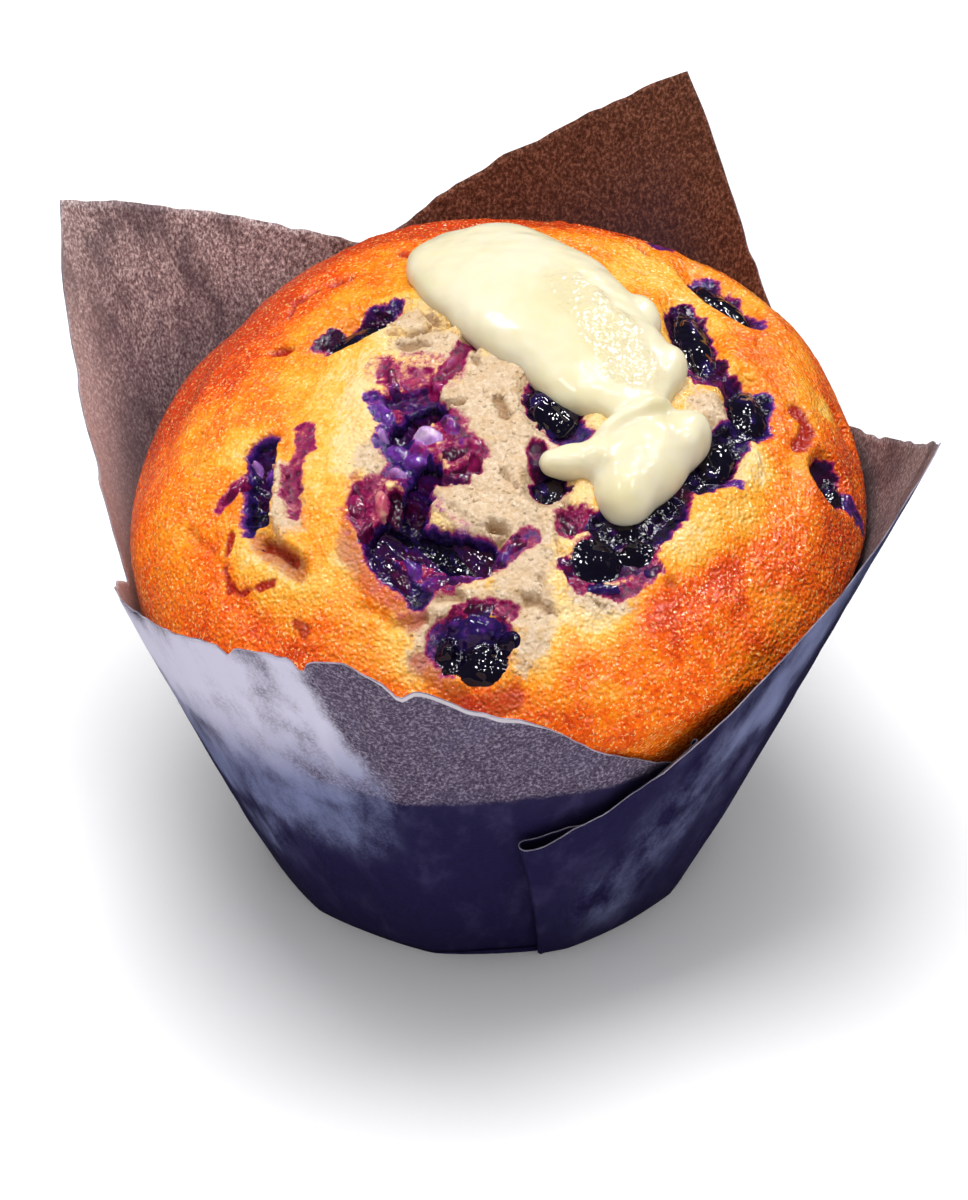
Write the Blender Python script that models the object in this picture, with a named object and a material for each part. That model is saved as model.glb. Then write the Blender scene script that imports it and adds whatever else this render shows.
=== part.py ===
"""A berry muffin in a tulip-shaped paper case, with a smear of butter on its crown.

Metres, +Z up. The origin is the middle of the flat paper base. +X is right and -Y is the front,
where the paper laps over itself in a pleat. Azimuths are in degrees, anticlockwise from +X.
"""

import math

import bmesh
import bpy
from mathutils import Matrix, Vector, noise

MM = 0.001

# Paper case: a flat round base and a wall that flares up to four standing corners.
PAPER = 0.4 * MM
BASE_RADIUS = 25.9 * MM
WALL_FLARE = 0.42  # outward run for each metre of height, at the base
WALL_BEND = 0.75  # how much of that flare is lost for each metre of height
FLATS = 11  # creases round the wall, with flats between them
FLAT_DEPTH = 0.5 * MM
FLAT_PHASE = 0.4  # radians, which turns the creases round the wall
COLUMN_STEP = 6  # degrees between the columns of every turned shape
WALL_ROWS = 7

# The wall is one closed strip. In the pleat it runs as three layers, joined by two folds.
PLEAT_BACK = -56  # the hidden fold
PLEAT_OUT = -38  # where the outer layer comes off the plain wall
PLEAT_IN = -110  # where the inner layer starts to be pressed inwards
FOLD_FOOT = -76  # the outer fold leans, so it has one azimuth at the foot
FOLD_TOP = -83  # and another at the top edge
FOLD_LOOP_FOOT = 0.35 * MM  # the outer fold's radius, which opens into a soft roll
FOLD_LOOP_TOP = 0.8 * MM
LAYER = 0.7 * MM  # between the middles of two layers that lie together
POCKET = 1.2 * MM  # how much further the outer layer bows out at the top edge
PLEAT_COLUMNS = 5
FOLD_COLUMNS = 4
RIM_OVERLAP = PAPER / 3  # how far the base disc reaches into the wall's thickness

# The top edge's dips, as (azimuth, height), and its corners between them, as
# (azimuth, height, curve towards the lower azimuth, curve towards the higher azimuth).
DIPS = ((-84, 26.4 * MM), (27, 43 * MM), (107, 48.5 * MM), (186, 36 * MM), (320, 28 * MM))
CORNERS = (
    (-20, 66 * MM, 1.3, 1.6),
    (64, 69 * MM, 1.8, 1.12),
    (154, 68.5 * MM, 1.2, 1.35),
    (253, 60.5 * MM, 0.8, 1.0),
)
CORNER_CURL = 1.2 * MM  # the corners lean out by this much at their tips
CORNER_CURL_WIDTH = 16  # degrees

# Muffin: it fills the case, and its crown is a leaning dome.
CLEAR = 0.4 * MM  # between the muffin and the paper
GAP = 0.3 * MM  # between the crown and what lies in it or on it
CROWN_X = 1.2 * MM
CROWN_RADIUS = 40.8 * MM
CROWN_HEIGHT = 42.6 * MM  # the middle of the crown's widest line
CROWN_RISE = 19.5 * MM
CROWN_LEAN_X = 0.03
CROWN_LEAN_Y = 0.12
SHOULDER_AT = 148  # the crown is a little flattened on this side
SHOULDER_WIDTH = 42
SHOULDER_DEPTH = 1.3 * MM
SIDE_ROWS = 5
CROWN_ROWS = 10
SWELL_SIZE = 12 * MM  # width of the crown's swells
SWELL_HEIGHT = 0.8 * MM
SWELL_PLACE = (3, 7, 1)  # where the noise of the swells is read
CALM_ROWS = 3  # rows of the crown, from its rim, over which its relief comes in
RIM_LEFT = 0.02  # the least squared height, as a share of the rise, that the dome's slope is read at
BURST_X = 3 * MM  # the torn middle of the crown
BURST_Y = -5 * MM
BURST_RADIUS = 25 * MM
BURST_HEIGHT = 0.9 * MM
BURST_FADE = (0.6, 1.1)  # where it starts to sink to the plain crown and where it ends
SHARP_ANGLE = 50  # degrees

# Berries in mm, as name: (x, y, half length, half width, turn of the length from +X, lift).
# Lift is how far the berry's middle stands above the crown's surface.
BERRIES = {
    "berry_left": (-24.2, -10.8, 6.6, 3.7, 98, -1.0),
    "berry_upper_left": (-13.8, 9.6, 5.6, 2.8, 28, -1.3),
    "berry_split_top": (-6.0, -0.6, 6.0, 3.3, 38, -1.3),
    "berry_split_middle": (-6.4, -9.8, 4.9, 3.9, 140, -1.4),
    "berry_split_side": (-11.2, -18.6, 4.4, 3.8, 80, -1.4),
    "berry_split_low": (-2.9, -24.6, 5.9, 3.3, 12, -1.5),
    "berry_front": (-0.9, -32.6, 4.5, 4.3, 0, -0.4),
    "berry_wide": (13.2, -23.6, 5.4, 4.2, 8, -0.8),
    "berry_middle": (7.4, -5.9, 4.3, 2.9, 115, -0.6),
    "berry_hidden": (7.0, -15.9, 2.6, 2.1, 60, -1.0),
    "berry_right_long": (23.6, 8.6, 6.6, 2.5, 103, -0.7),
    "berry_right_turn": (28.9, -1.0, 3.9, 2.8, 60, -0.6),
    "berry_right_low": (25.6, -9.2, 3.9, 2.6, 75, -0.8),
    "berry_back_right": (27.2, 19.4, 5.4, 2.4, 128, -0.6),
    "berry_edge": (39.2, -5.8, 2.9, 2.3, 80, -0.5),
    "berry_back": (15.6, 33.2, 4.4, 2.9, 160, -0.7),
}
BERRY_DEPTH = 0.85  # a berry's half depth, as a share of its half width
CRATER_SPREAD = 1.35  # width of the hollow round a berry, in berry sizes
CRATER_DEPTH = 1.3 * MM
UNDER_BUTTER = ("berry_middle", "berry_hidden", "berry_wide", "berry_right_low")

# Butter in mm: a smear along a curved line on the crown, as (x, y, half width, thickness).
SMEAR = (
    (-5.2, 25.0, 3.2, 1.8),
    (-3.4, 21.6, 6.8, 3.4),
    (0.8, 17.8, 9.6, 4.4),
    (5.4, 12.2, 9.8, 5.0),
    (9.6, 6.6, 9.4, 5.4),
    (13.4, 0.8, 8.8, 5.2),
    (16.4, -5.4, 7.8, 5.0),
    (17.2, -11.4, 6.6, 4.4),
    (15.8, -16.2, 4.6, 3.4),
    (14.8, -18.8, 2.2, 2.0),
)
SMEAR_SIDES = 16
SMEAR_FULLNESS = 0.7  # under 1 gives the smear a flat top and round sides
SMEAR_SINK = 2.0 * MM  # how far it reaches into the crown before it is cut
TONGUE = (9.6, -12.2, 4.4, 1.9, 14, 0.9)  # a small tongue on its left, sized like a berry


def polar(radius, azimuth, height):
    angle = math.radians(azimuth)
    return Vector((radius * math.cos(angle), radius * math.sin(angle), height))


def mix(start, end, share):
    return start + (end - start) * share


def smooth(value, start, end):
    """0 before start, 1 past end, and a smooth rise between them."""
    share = min(max((value - start) / (end - start), 0.0), 1.0)
    return share * share * (3 - 2 * share)


def bell(azimuth, middle, width):
    away = (azimuth - middle + 180) % 360 - 180
    return math.exp(-((away / width) ** 2))


def edge_height(azimuth):
    """Height of the paper's top edge, which climbs from each dip to the corner beside it."""
    for (low_at, low), (at, top, down, up), (high_at, high) in zip(DIPS, CORNERS, DIPS[1:]):
        if low_at <= azimuth <= at:
            return mix(low, top, ((azimuth - low_at) / (at - low_at)) ** down)
        if at <= azimuth <= high_at:
            return mix(high, top, ((high_at - azimuth) / (high_at - at)) ** up)
    return DIPS[0][1]


def wall_radius(azimuth, height):
    """Radius of the plain wall's middle, with flats between its creases."""
    plain = BASE_RADIUS + (WALL_FLARE - WALL_BEND * height) * height
    crease = abs(math.sin(math.radians(azimuth) * FLATS / 2 + FLAT_PHASE))
    return plain - FLAT_DEPTH * crease


def corner_curl(azimuth, share):
    """How far a standing corner leans out, near its tip."""
    return CORNER_CURL * share**4 * sum(bell(azimuth, at, CORNER_CURL_WIDTH) for at, *_ in CORNERS)


def inner_offset(azimuth):
    """How far the innermost layer is from the plain wall: it is pressed in behind the pleat."""
    turned = (azimuth + 180) % 360 - 180
    return -LAYER * smooth(turned, PLEAT_IN, FOLD_TOP) * smooth(-turned, -PLEAT_OUT, -PLEAT_BACK)


def outer_offset(azimuth, share):
    """How far the outer layer stands off the plain wall, from the pleat's start to its fold."""
    lifted = smooth(-azimuth, -PLEAT_OUT, -PLEAT_BACK)
    along = min(max((azimuth - FOLD_TOP) / (PLEAT_OUT - FOLD_TOP), 0.0), 1.0)
    pocket = POCKET * share * math.sin(math.pi * along)
    return lifted * (2 * mix(FOLD_LOOP_FOOT, FOLD_LOOP_TOP, share) + pocket)


def strip_path(share):
    """One level of the closed strip as (azimuth, offset), from the hidden fold round to itself."""
    fold = mix(FOLD_FOOT, FOLD_TOP, share)
    loop = mix(FOLD_LOOP_FOOT, FOLD_LOOP_TOP, share)
    degrees = math.degrees(1 / (BASE_RADIUS + WALL_FLARE * share * DIPS[0][1]))
    path = []
    for azimuth in range(PLEAT_BACK + 360, PLEAT_BACK, -COLUMN_STEP):
        offset = inner_offset(azimuth) if azimuth > 180 else outer_offset(azimuth, share)
        path.append((azimuth, offset))
    for step in range(PLEAT_COLUMNS):
        azimuth = mix(PLEAT_BACK, fold, step / PLEAT_COLUMNS)
        path.append((azimuth, outer_offset(azimuth, share)))
    for step in range(FOLD_COLUMNS + 1):
        angle = math.pi * step / FOLD_COLUMNS
        path.append((fold - loop * math.sin(angle) * degrees, loop + loop * math.cos(angle)))
    for step in range(1, PLEAT_COLUMNS):
        path.append((mix(fold, PLEAT_BACK, step / PLEAT_COLUMNS), 0.0))
    for step in range(FOLD_COLUMNS):
        angle = math.pi * step / FOLD_COLUMNS
        turn = LAYER / 2
        path.append((PLEAT_BACK + turn * math.sin(angle) * degrees, turn * math.cos(angle) - turn))
    return path


def new_object(name, build, material):
    mesh = bpy.data.meshes.new(name)
    bm = bmesh.new()
    build(bm)
    bmesh.ops.recalc_face_normals(bm, faces=bm.faces)
    bmesh.ops.triangulate(bm, faces=[face for face in bm.faces if len(face.verts) > 3])
    bm.to_mesh(mesh)
    bm.free()
    mesh.shade_smooth()
    mesh.set_sharp_from_angle(angle=math.radians(SHARP_ANGLE))
    obj = bpy.data.objects.new(name, mesh)
    bpy.context.scene.collection.objects.link(obj)
    if material:
        mesh.materials.append(material)
    return obj


def new_material(name, colour, roughness):
    material = bpy.data.materials.new(name)
    material.use_nodes = True
    shader = material.node_tree.nodes["Principled BSDF"]
    shader.inputs["Base Color"].default_value = (*colour, 1.0)
    shader.inputs["Roughness"].default_value = roughness
    shader.inputs["Metallic"].default_value = 0.0
    return material


def skin_rings(bm, rings):
    """Faces between neighbouring closed rings of points, all with the same number of points."""
    made = [[bm.verts.new(point) for point in ring] for ring in rings]
    for lower, upper in zip(made, made[1:]):
        for i, vert in enumerate(lower):
            j = (i + 1) % len(lower)
            bm.faces.new((vert, lower[j], upper[j], upper[i]))
    return made


def build_strip(bm):
    """The middle of the wall and of its pleat, which the Solidify modifier gives a thickness."""
    foot = PAPER / 2
    rings = []
    for row in range(WALL_ROWS + 1):
        share = row / WALL_ROWS
        ring = []
        for azimuth, offset in strip_path(share):
            height = mix(foot, edge_height(azimuth), share)
            radius = wall_radius(azimuth, height) + corner_curl(azimuth, share) + offset
            ring.append(polar(radius, azimuth, height))
        rings.append(ring)
    skin_rings(bm, rings)


def build_base(bm):
    """The flat disc that the case stands on. Its rim ends inside the wall's thickness."""
    ring = []
    for azimuth in range(180, -180, -COLUMN_STEP):
        offset = outer_offset(azimuth, 0) if FOLD_FOOT <= azimuth <= 0 else 0.0
        radius = wall_radius(azimuth, 0) + offset + RIM_OVERLAP
        ring.append(bm.verts.new(polar(radius, azimuth, 0)))
    disc = bm.faces.new(ring)
    raised = bmesh.ops.extrude_face_region(bm, geom=[disc])
    lifted = [item for item in raised["geom"] if isinstance(item, bmesh.types.BMVert)]
    bmesh.ops.translate(bm, verts=lifted, vec=(0, 0, PAPER))


def crown_swell(x, y):
    """Height of the crown's low swells and of its torn middle, above the plain dome."""
    swell = SWELL_HEIGHT * noise.noise(Vector((x, y, 0)) / SWELL_SIZE + Vector(SWELL_PLACE))
    reach = math.hypot(x - BURST_X, y - BURST_Y) / BURST_RADIUS
    return swell + BURST_HEIGHT * (1 - smooth(reach, *BURST_FADE))


def crater(x, y):
    """Depth of the hollows that the berries lie in."""
    depth = 0.0
    for at_x, at_y, length, width, turn, _ in BERRIES.values():
        away = Vector((x - at_x * MM, y - at_y * MM))
        away.rotate(Matrix.Rotation(-math.radians(turn), 2))
        reach = math.hypot(away.x / length, away.y / width) / (CRATER_SPREAD * MM)
        depth = max(depth, CRATER_DEPTH * math.exp(-(reach**2)))
    return depth


def crown_level(x, y):
    """Height of the crown's leaning widest line, carried across the crown."""
    return CROWN_HEIGHT + CROWN_LEAN_X * (x - CROWN_X) + CROWN_LEAN_Y * y


def crown_surface(x, y):
    """Point on the plain dome over (x, y), and the direction outwards there."""
    along = Vector((x - CROWN_X, y)) / CROWN_RADIUS
    left = math.sqrt(max(1 - along.length_squared, RIM_LEFT))
    steep = CROWN_RISE / left / CROWN_RADIUS
    slope = along * steep - Vector((CROWN_LEAN_X, CROWN_LEAN_Y))
    point = Vector((x, y, crown_level(x, y) + CROWN_RISE * left))
    return point, Vector((slope.x, slope.y, 1)).normalized()


def muffin_rings(grow):
    """Rings of the muffin from its foot to just under its top, grown outwards by grow."""
    rings = [[] for _ in range(SIDE_ROWS + CROWN_ROWS)]
    for azimuth in range(0, 360, COLUMN_STEP):
        shrink = 1 - SHOULDER_DEPTH / CROWN_RADIUS * bell(azimuth, SHOULDER_AT, SHOULDER_WIDTH)
        rim = polar(CROWN_RADIUS * shrink, azimuth, 0)
        rim.x += CROWN_X
        rim_height = crown_level(rim.x, rim.y)
        for row in range(SIDE_ROWS):
            height = mix(PAPER + CLEAR, rim_height, row / SIDE_ROWS)
            radius = min(room_radius(azimuth, height), rim.length)
            rings[row].append(polar(radius + grow, azimuth, height))
        for row in range(CROWN_ROWS):
            angle = math.pi / 2 * row / CROWN_ROWS
            point = polar(CROWN_RADIUS * shrink * math.cos(angle), azimuth, 0)
            point.x += CROWN_X
            height = crown_level(point.x, point.y) + CROWN_RISE * math.sin(angle)
            point *= min(1.0, room_radius(azimuth, height) / point.length)
            point.z = height
            relief = crown_swell(point.x, point.y) - crater(point.x, point.y)
            relief *= smooth(row, 0, CALM_ROWS)
            outwards = crown_surface(point.x, point.y)[1]
            rings[SIDE_ROWS + row].append(point + outwards * (relief + grow))
    return rings


def room_radius(azimuth, height):
    """How far the muffin may reach inside the paper."""
    return wall_radius(azimuth, height) + inner_offset(azimuth) - PAPER / 2 - CLEAR


def build_muffin(bm, grow=0.0):
    rings = skin_rings(bm, muffin_rings(grow))
    bm.faces.new(rings[0])
    bmesh.ops.poke(bm, faces=[bm.faces.new(rings[-1])])


def crown_frame(x, y, turn, lift):
    """Matrix that sets a round piece in the crown, with its length along the surface."""
    point, outwards = crown_surface(x * MM, y * MM)
    surface = crown_swell(point.x, point.y) - crater(point.x, point.y)
    length = Vector((math.cos(math.radians(turn)), math.sin(math.radians(turn)), 0))
    length = (length - outwards * length.dot(outwards)).normalized()
    turned = Matrix((length, outwards.cross(length), outwards)).transposed().to_4x4()
    return Matrix.Translation(point + outwards * (surface + lift * MM)) @ turned


def build_round(bm, x, y, length, width, turn, lift, grow=0.0):
    """A berry, or a tongue of butter: a ball stretched along the crown."""
    bmesh.ops.create_icosphere(bm, subdivisions=2, radius=1)
    deep = width * BERRY_DEPTH
    size = Matrix.Diagonal((length * MM + grow, width * MM + grow, deep * MM + grow, 1))
    bmesh.ops.transform(bm, matrix=crown_frame(x, y, turn, lift) @ size, verts=bm.verts)


def build_smear(bm):
    """The butter before it is cut to the crown: a full, soft ridge along the smear's line."""
    rings = []
    for index, (x, y, half_width, thickness) in enumerate(SMEAR):
        before = Vector(SMEAR[max(index - 1, 0)][:2])
        after = Vector(SMEAR[min(index + 1, len(SMEAR) - 1)][:2])
        outwards = crown_surface(x * MM, y * MM)[1]
        across = outwards.cross((after - before).to_3d()).normalized()
        ring = []
        for side in range(SMEAR_SIDES):
            angle = 2 * math.pi * side / SMEAR_SIDES
            reach = math.copysign(abs(math.cos(angle)) ** SMEAR_FULLNESS, math.cos(angle))
            high = math.copysign(abs(math.sin(angle)) ** SMEAR_FULLNESS, math.sin(angle))
            over = across * reach * half_width * MM
            foot = crown_surface(x * MM + over.x, y * MM + over.y)[0]
            ring.append(foot + outwards * high * (thickness * MM if high > 0 else SMEAR_SINK))
        rings.append(ring)
    made = skin_rings(bm, rings)
    bmesh.ops.poke(bm, faces=[bm.faces.new(made[0]), bm.faces.new(made[-1])])


def combine(obj, other, operation):
    """A Boolean on obj with a helper object, which isn't a piece of the muffin itself."""
    other.hide_render = True
    other.display_type = "WIRE"
    modifier = obj.modifiers.new(operation.lower() + "_" + other.name, "BOOLEAN")
    modifier.operation = operation
    modifier.object = other
    modifier.solver = "EXACT"


def make_case():
    paper = new_material("paper", (0.055, 0.045, 0.11), 0.6)
    case = new_object("paper_case", build_strip, paper)
    thicken = case.modifiers.new("thickness", "SOLIDIFY")
    thicken.thickness = PAPER
    thicken.offset = 0.0
    combine(case, new_object("case_base", build_base, paper), "UNION")


def make_muffin_and_toppings():
    crust = new_material("crust", (0.72, 0.33, 0.08), 0.45)
    berry = new_material("berry", (0.035, 0.012, 0.06), 0.2)
    cream = new_material("butter", (0.93, 0.86, 0.6), 0.25)
    muffin = new_object("muffin", build_muffin, crust)
    butter = new_object("butter", build_smear, cream)
    combine(butter, new_object("tongue", lambda bm: build_round(bm, *TONGUE), cream), "UNION")
    combine(butter, new_object("crown_room", lambda bm: build_muffin(bm, GAP), None), "DIFFERENCE")
    for name, place in BERRIES.items():
        new_object(name, lambda bm: build_round(bm, *place), berry)
        socket = new_object(name + "_room", lambda bm: build_round(bm, *place, GAP), None)
        combine(muffin, socket, "DIFFERENCE")
        if name in UNDER_BUTTER:
            combine(butter, socket, "DIFFERENCE")


def main():
    for obj in list(bpy.data.objects):
        bpy.data.objects.remove(obj)
    make_case()
    make_muffin_and_toppings()


main()
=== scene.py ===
"""Looks of a berry muffin in a tulip-shaped paper case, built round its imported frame.

Metres, +Z up, -Y to the front. Tables give places on the crown in millimetres, as x and y.
Azimuths are in degrees, anticlockwise from +X.
"""
import math

import bmesh
import bpy
import numpy as np
from mathutils import Matrix, Vector, noise


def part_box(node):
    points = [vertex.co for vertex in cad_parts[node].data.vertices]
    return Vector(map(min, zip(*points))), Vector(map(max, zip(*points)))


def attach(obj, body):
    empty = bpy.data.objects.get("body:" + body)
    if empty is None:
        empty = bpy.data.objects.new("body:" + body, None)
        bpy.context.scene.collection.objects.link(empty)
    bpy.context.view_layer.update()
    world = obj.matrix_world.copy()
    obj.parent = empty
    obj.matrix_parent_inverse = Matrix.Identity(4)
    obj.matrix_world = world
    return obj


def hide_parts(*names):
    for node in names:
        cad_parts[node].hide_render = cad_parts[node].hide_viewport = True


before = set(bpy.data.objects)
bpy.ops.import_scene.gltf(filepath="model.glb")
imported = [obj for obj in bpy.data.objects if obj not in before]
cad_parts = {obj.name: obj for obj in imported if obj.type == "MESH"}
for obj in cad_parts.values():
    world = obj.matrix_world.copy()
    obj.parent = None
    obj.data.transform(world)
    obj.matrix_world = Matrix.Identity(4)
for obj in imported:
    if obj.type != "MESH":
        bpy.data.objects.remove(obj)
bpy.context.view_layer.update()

MM = 0.001

# ---------------------------------------------------------------- sizes of the case and the crown
PAPER = 0.14 * MM
BASE_RADIUS = 25.9 * MM
WALL_FLARE = 0.42
WALL_BEND = 0.75
FLATS = 11
FLAT_DEPTH = 0.5 * MM
PLEAT_BACK = -56
PLEAT_OUT = -38
PLEAT_IN = -110
FOLD_FOOT = -76
FOLD_TOP = -83
FOLD_LOOP_FOOT = 0.3 * MM
FOLD_LOOP_TOP = 0.85 * MM
LAYER = 0.62 * MM
POCKET = 0.25 * MM
LYING_FLAT = 0.55  # how far the pleat closes beside its fold
DIPS = ((-84, 26.4 * MM), (27, 43 * MM), (107, 48.5 * MM), (186, 36 * MM), (320, 28 * MM))
CORNERS = (
    (-20, 66 * MM, 1.3, 1.6),
    (64, 69 * MM, 1.8, 1.12),
    (154, 68.5 * MM, 1.2, 1.35),
    (253, 60.5 * MM, 0.8, 1.0),
)
CORNER_CURL = 1.2 * MM
CORNER_CURL_WIDTH = 16

CLEAR = 0.35 * MM
CROWN_X = 1.2 * MM
CROWN_RADIUS = 40.8 * MM
CROWN_HEIGHT = 42.6 * MM
CROWN_RISE = 19.5 * MM
CROWN_LEAN_X = 0.03
CROWN_LEAN_Y = 0.12
SHOULDER_AT = 148
SHOULDER_WIDTH = 42
SHOULDER_DEPTH = 1.3 * MM
SWELL_SIZE = 12 * MM
SWELL_HEIGHT = 0.8 * MM
BURST_X = 3 * MM
BURST_Y = -5 * MM
BURST_RADIUS = 25 * MM
BURST_HEIGHT = 0.9 * MM


def mix(start, end, share):
    return start + (end - start) * share


def smooth(value, start, end):
    """0 before start, 1 past end, and a smooth rise between them, for numbers and arrays."""
    share = np.clip((value - start) / (end - start), 0.0, 1.0)
    return share * share * (3 - 2 * share)


def bell(azimuth, middle, width):
    away = (azimuth - middle + 180) % 360 - 180
    return np.exp(-((away / width) ** 2))


def linear(red, green, blue):
    """A display colour out of 255 as the linear colour that shaders take."""
    parts = [part / 255 for part in (red, green, blue)]
    return tuple(p / 12.92 if p <= 0.04045 else ((p + 0.055) / 1.055) ** 2.4 for p in parts) + (1.0,)


def grain(points, size, seed=0.0, octaves=1):
    """Smooth noise from about -1 to 1 at each point, with features of about the given size."""
    shift = Vector((seed, seed * 0.7, seed * 1.3))
    if octaves == 1:
        return np.array([noise.noise(Vector(p) / size + shift) for p in points])
    return np.array([noise.fractal(Vector(p) / size + shift, 1.0, 2.0, octaves) for p in points])


# ---------------------------------------------------------------- the crown's surface
def crown_level(x, y):
    return CROWN_HEIGHT + CROWN_LEAN_X * (x - CROWN_X) + CROWN_LEAN_Y * y


def crown_frame(x, y):
    """Height of the plain dome over (x, y), and its direction outwards, for numbers and arrays."""
    along_x = (x - CROWN_X) / CROWN_RADIUS
    along_y = y / CROWN_RADIUS
    left = np.sqrt(np.maximum(1 - along_x**2 - along_y**2, 0.02))
    slope_x = along_x * CROWN_RISE / left / CROWN_RADIUS - CROWN_LEAN_X
    slope_y = along_y * CROWN_RISE / left / CROWN_RADIUS - CROWN_LEAN_Y
    size = np.sqrt(slope_x**2 + slope_y**2 + 1)
    height = crown_level(x, y) + CROWN_RISE * left
    return height, np.stack([slope_x / size, slope_y / size, 1 / size], -1)


def wall_radius(azimuth, height):
    plain = BASE_RADIUS + (WALL_FLARE - WALL_BEND * height) * height
    return plain - FLAT_DEPTH * abs(np.sin(np.radians(azimuth) * FLATS / 2 + 0.4))


def inner_offset(azimuth):
    turned = (azimuth + 180) % 360 - 180
    return -LAYER * smooth(turned, PLEAT_IN, FOLD_TOP) * smooth(-turned, -PLEAT_OUT, -PLEAT_BACK)


def room_radius(azimuth, height):
    """How far the cake may reach inside the paper."""
    return wall_radius(azimuth, height) + inner_offset(azimuth) - PAPER - CLEAR


# ---------------------------------------------------------------- what lies in the crown
# Whole berries, as name: (half length, half width, turn of the length from +X, seed of its wrinkles).
BERRIES = {
    "berry_upper_left": (5.0, 2.1, 28, 5.7),
    "berry_middle": (4.3, 2.9, 115, 2.9),
    "berry_hidden": (2.6, 2.1, 60, 4.4),
    "berry_right_long": (6.6, 2.4, 103, 6.6),
    "berry_right_turn": (3.9, 2.5, 100, 7.9),
    "berry_right_low": (3.9, 2.5, 75, 9.3),
    "berry_back_right": (5.4, 2.2, 128, 10.8),
    "berry_edge": (2.5, 2.0, 80, 12.5),
    "berry_back": (4.4, 2.6, 160, 13.7),
}
BERRY_DEPTH = 0.8
BERRY_SINK = 0.5 * MM
FLESH_MARGIN = 1.2  # mm beyond a burst berry's lumps
FLESH_CELL = 0.12  # mm across each cell of a burst berry's skin

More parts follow.
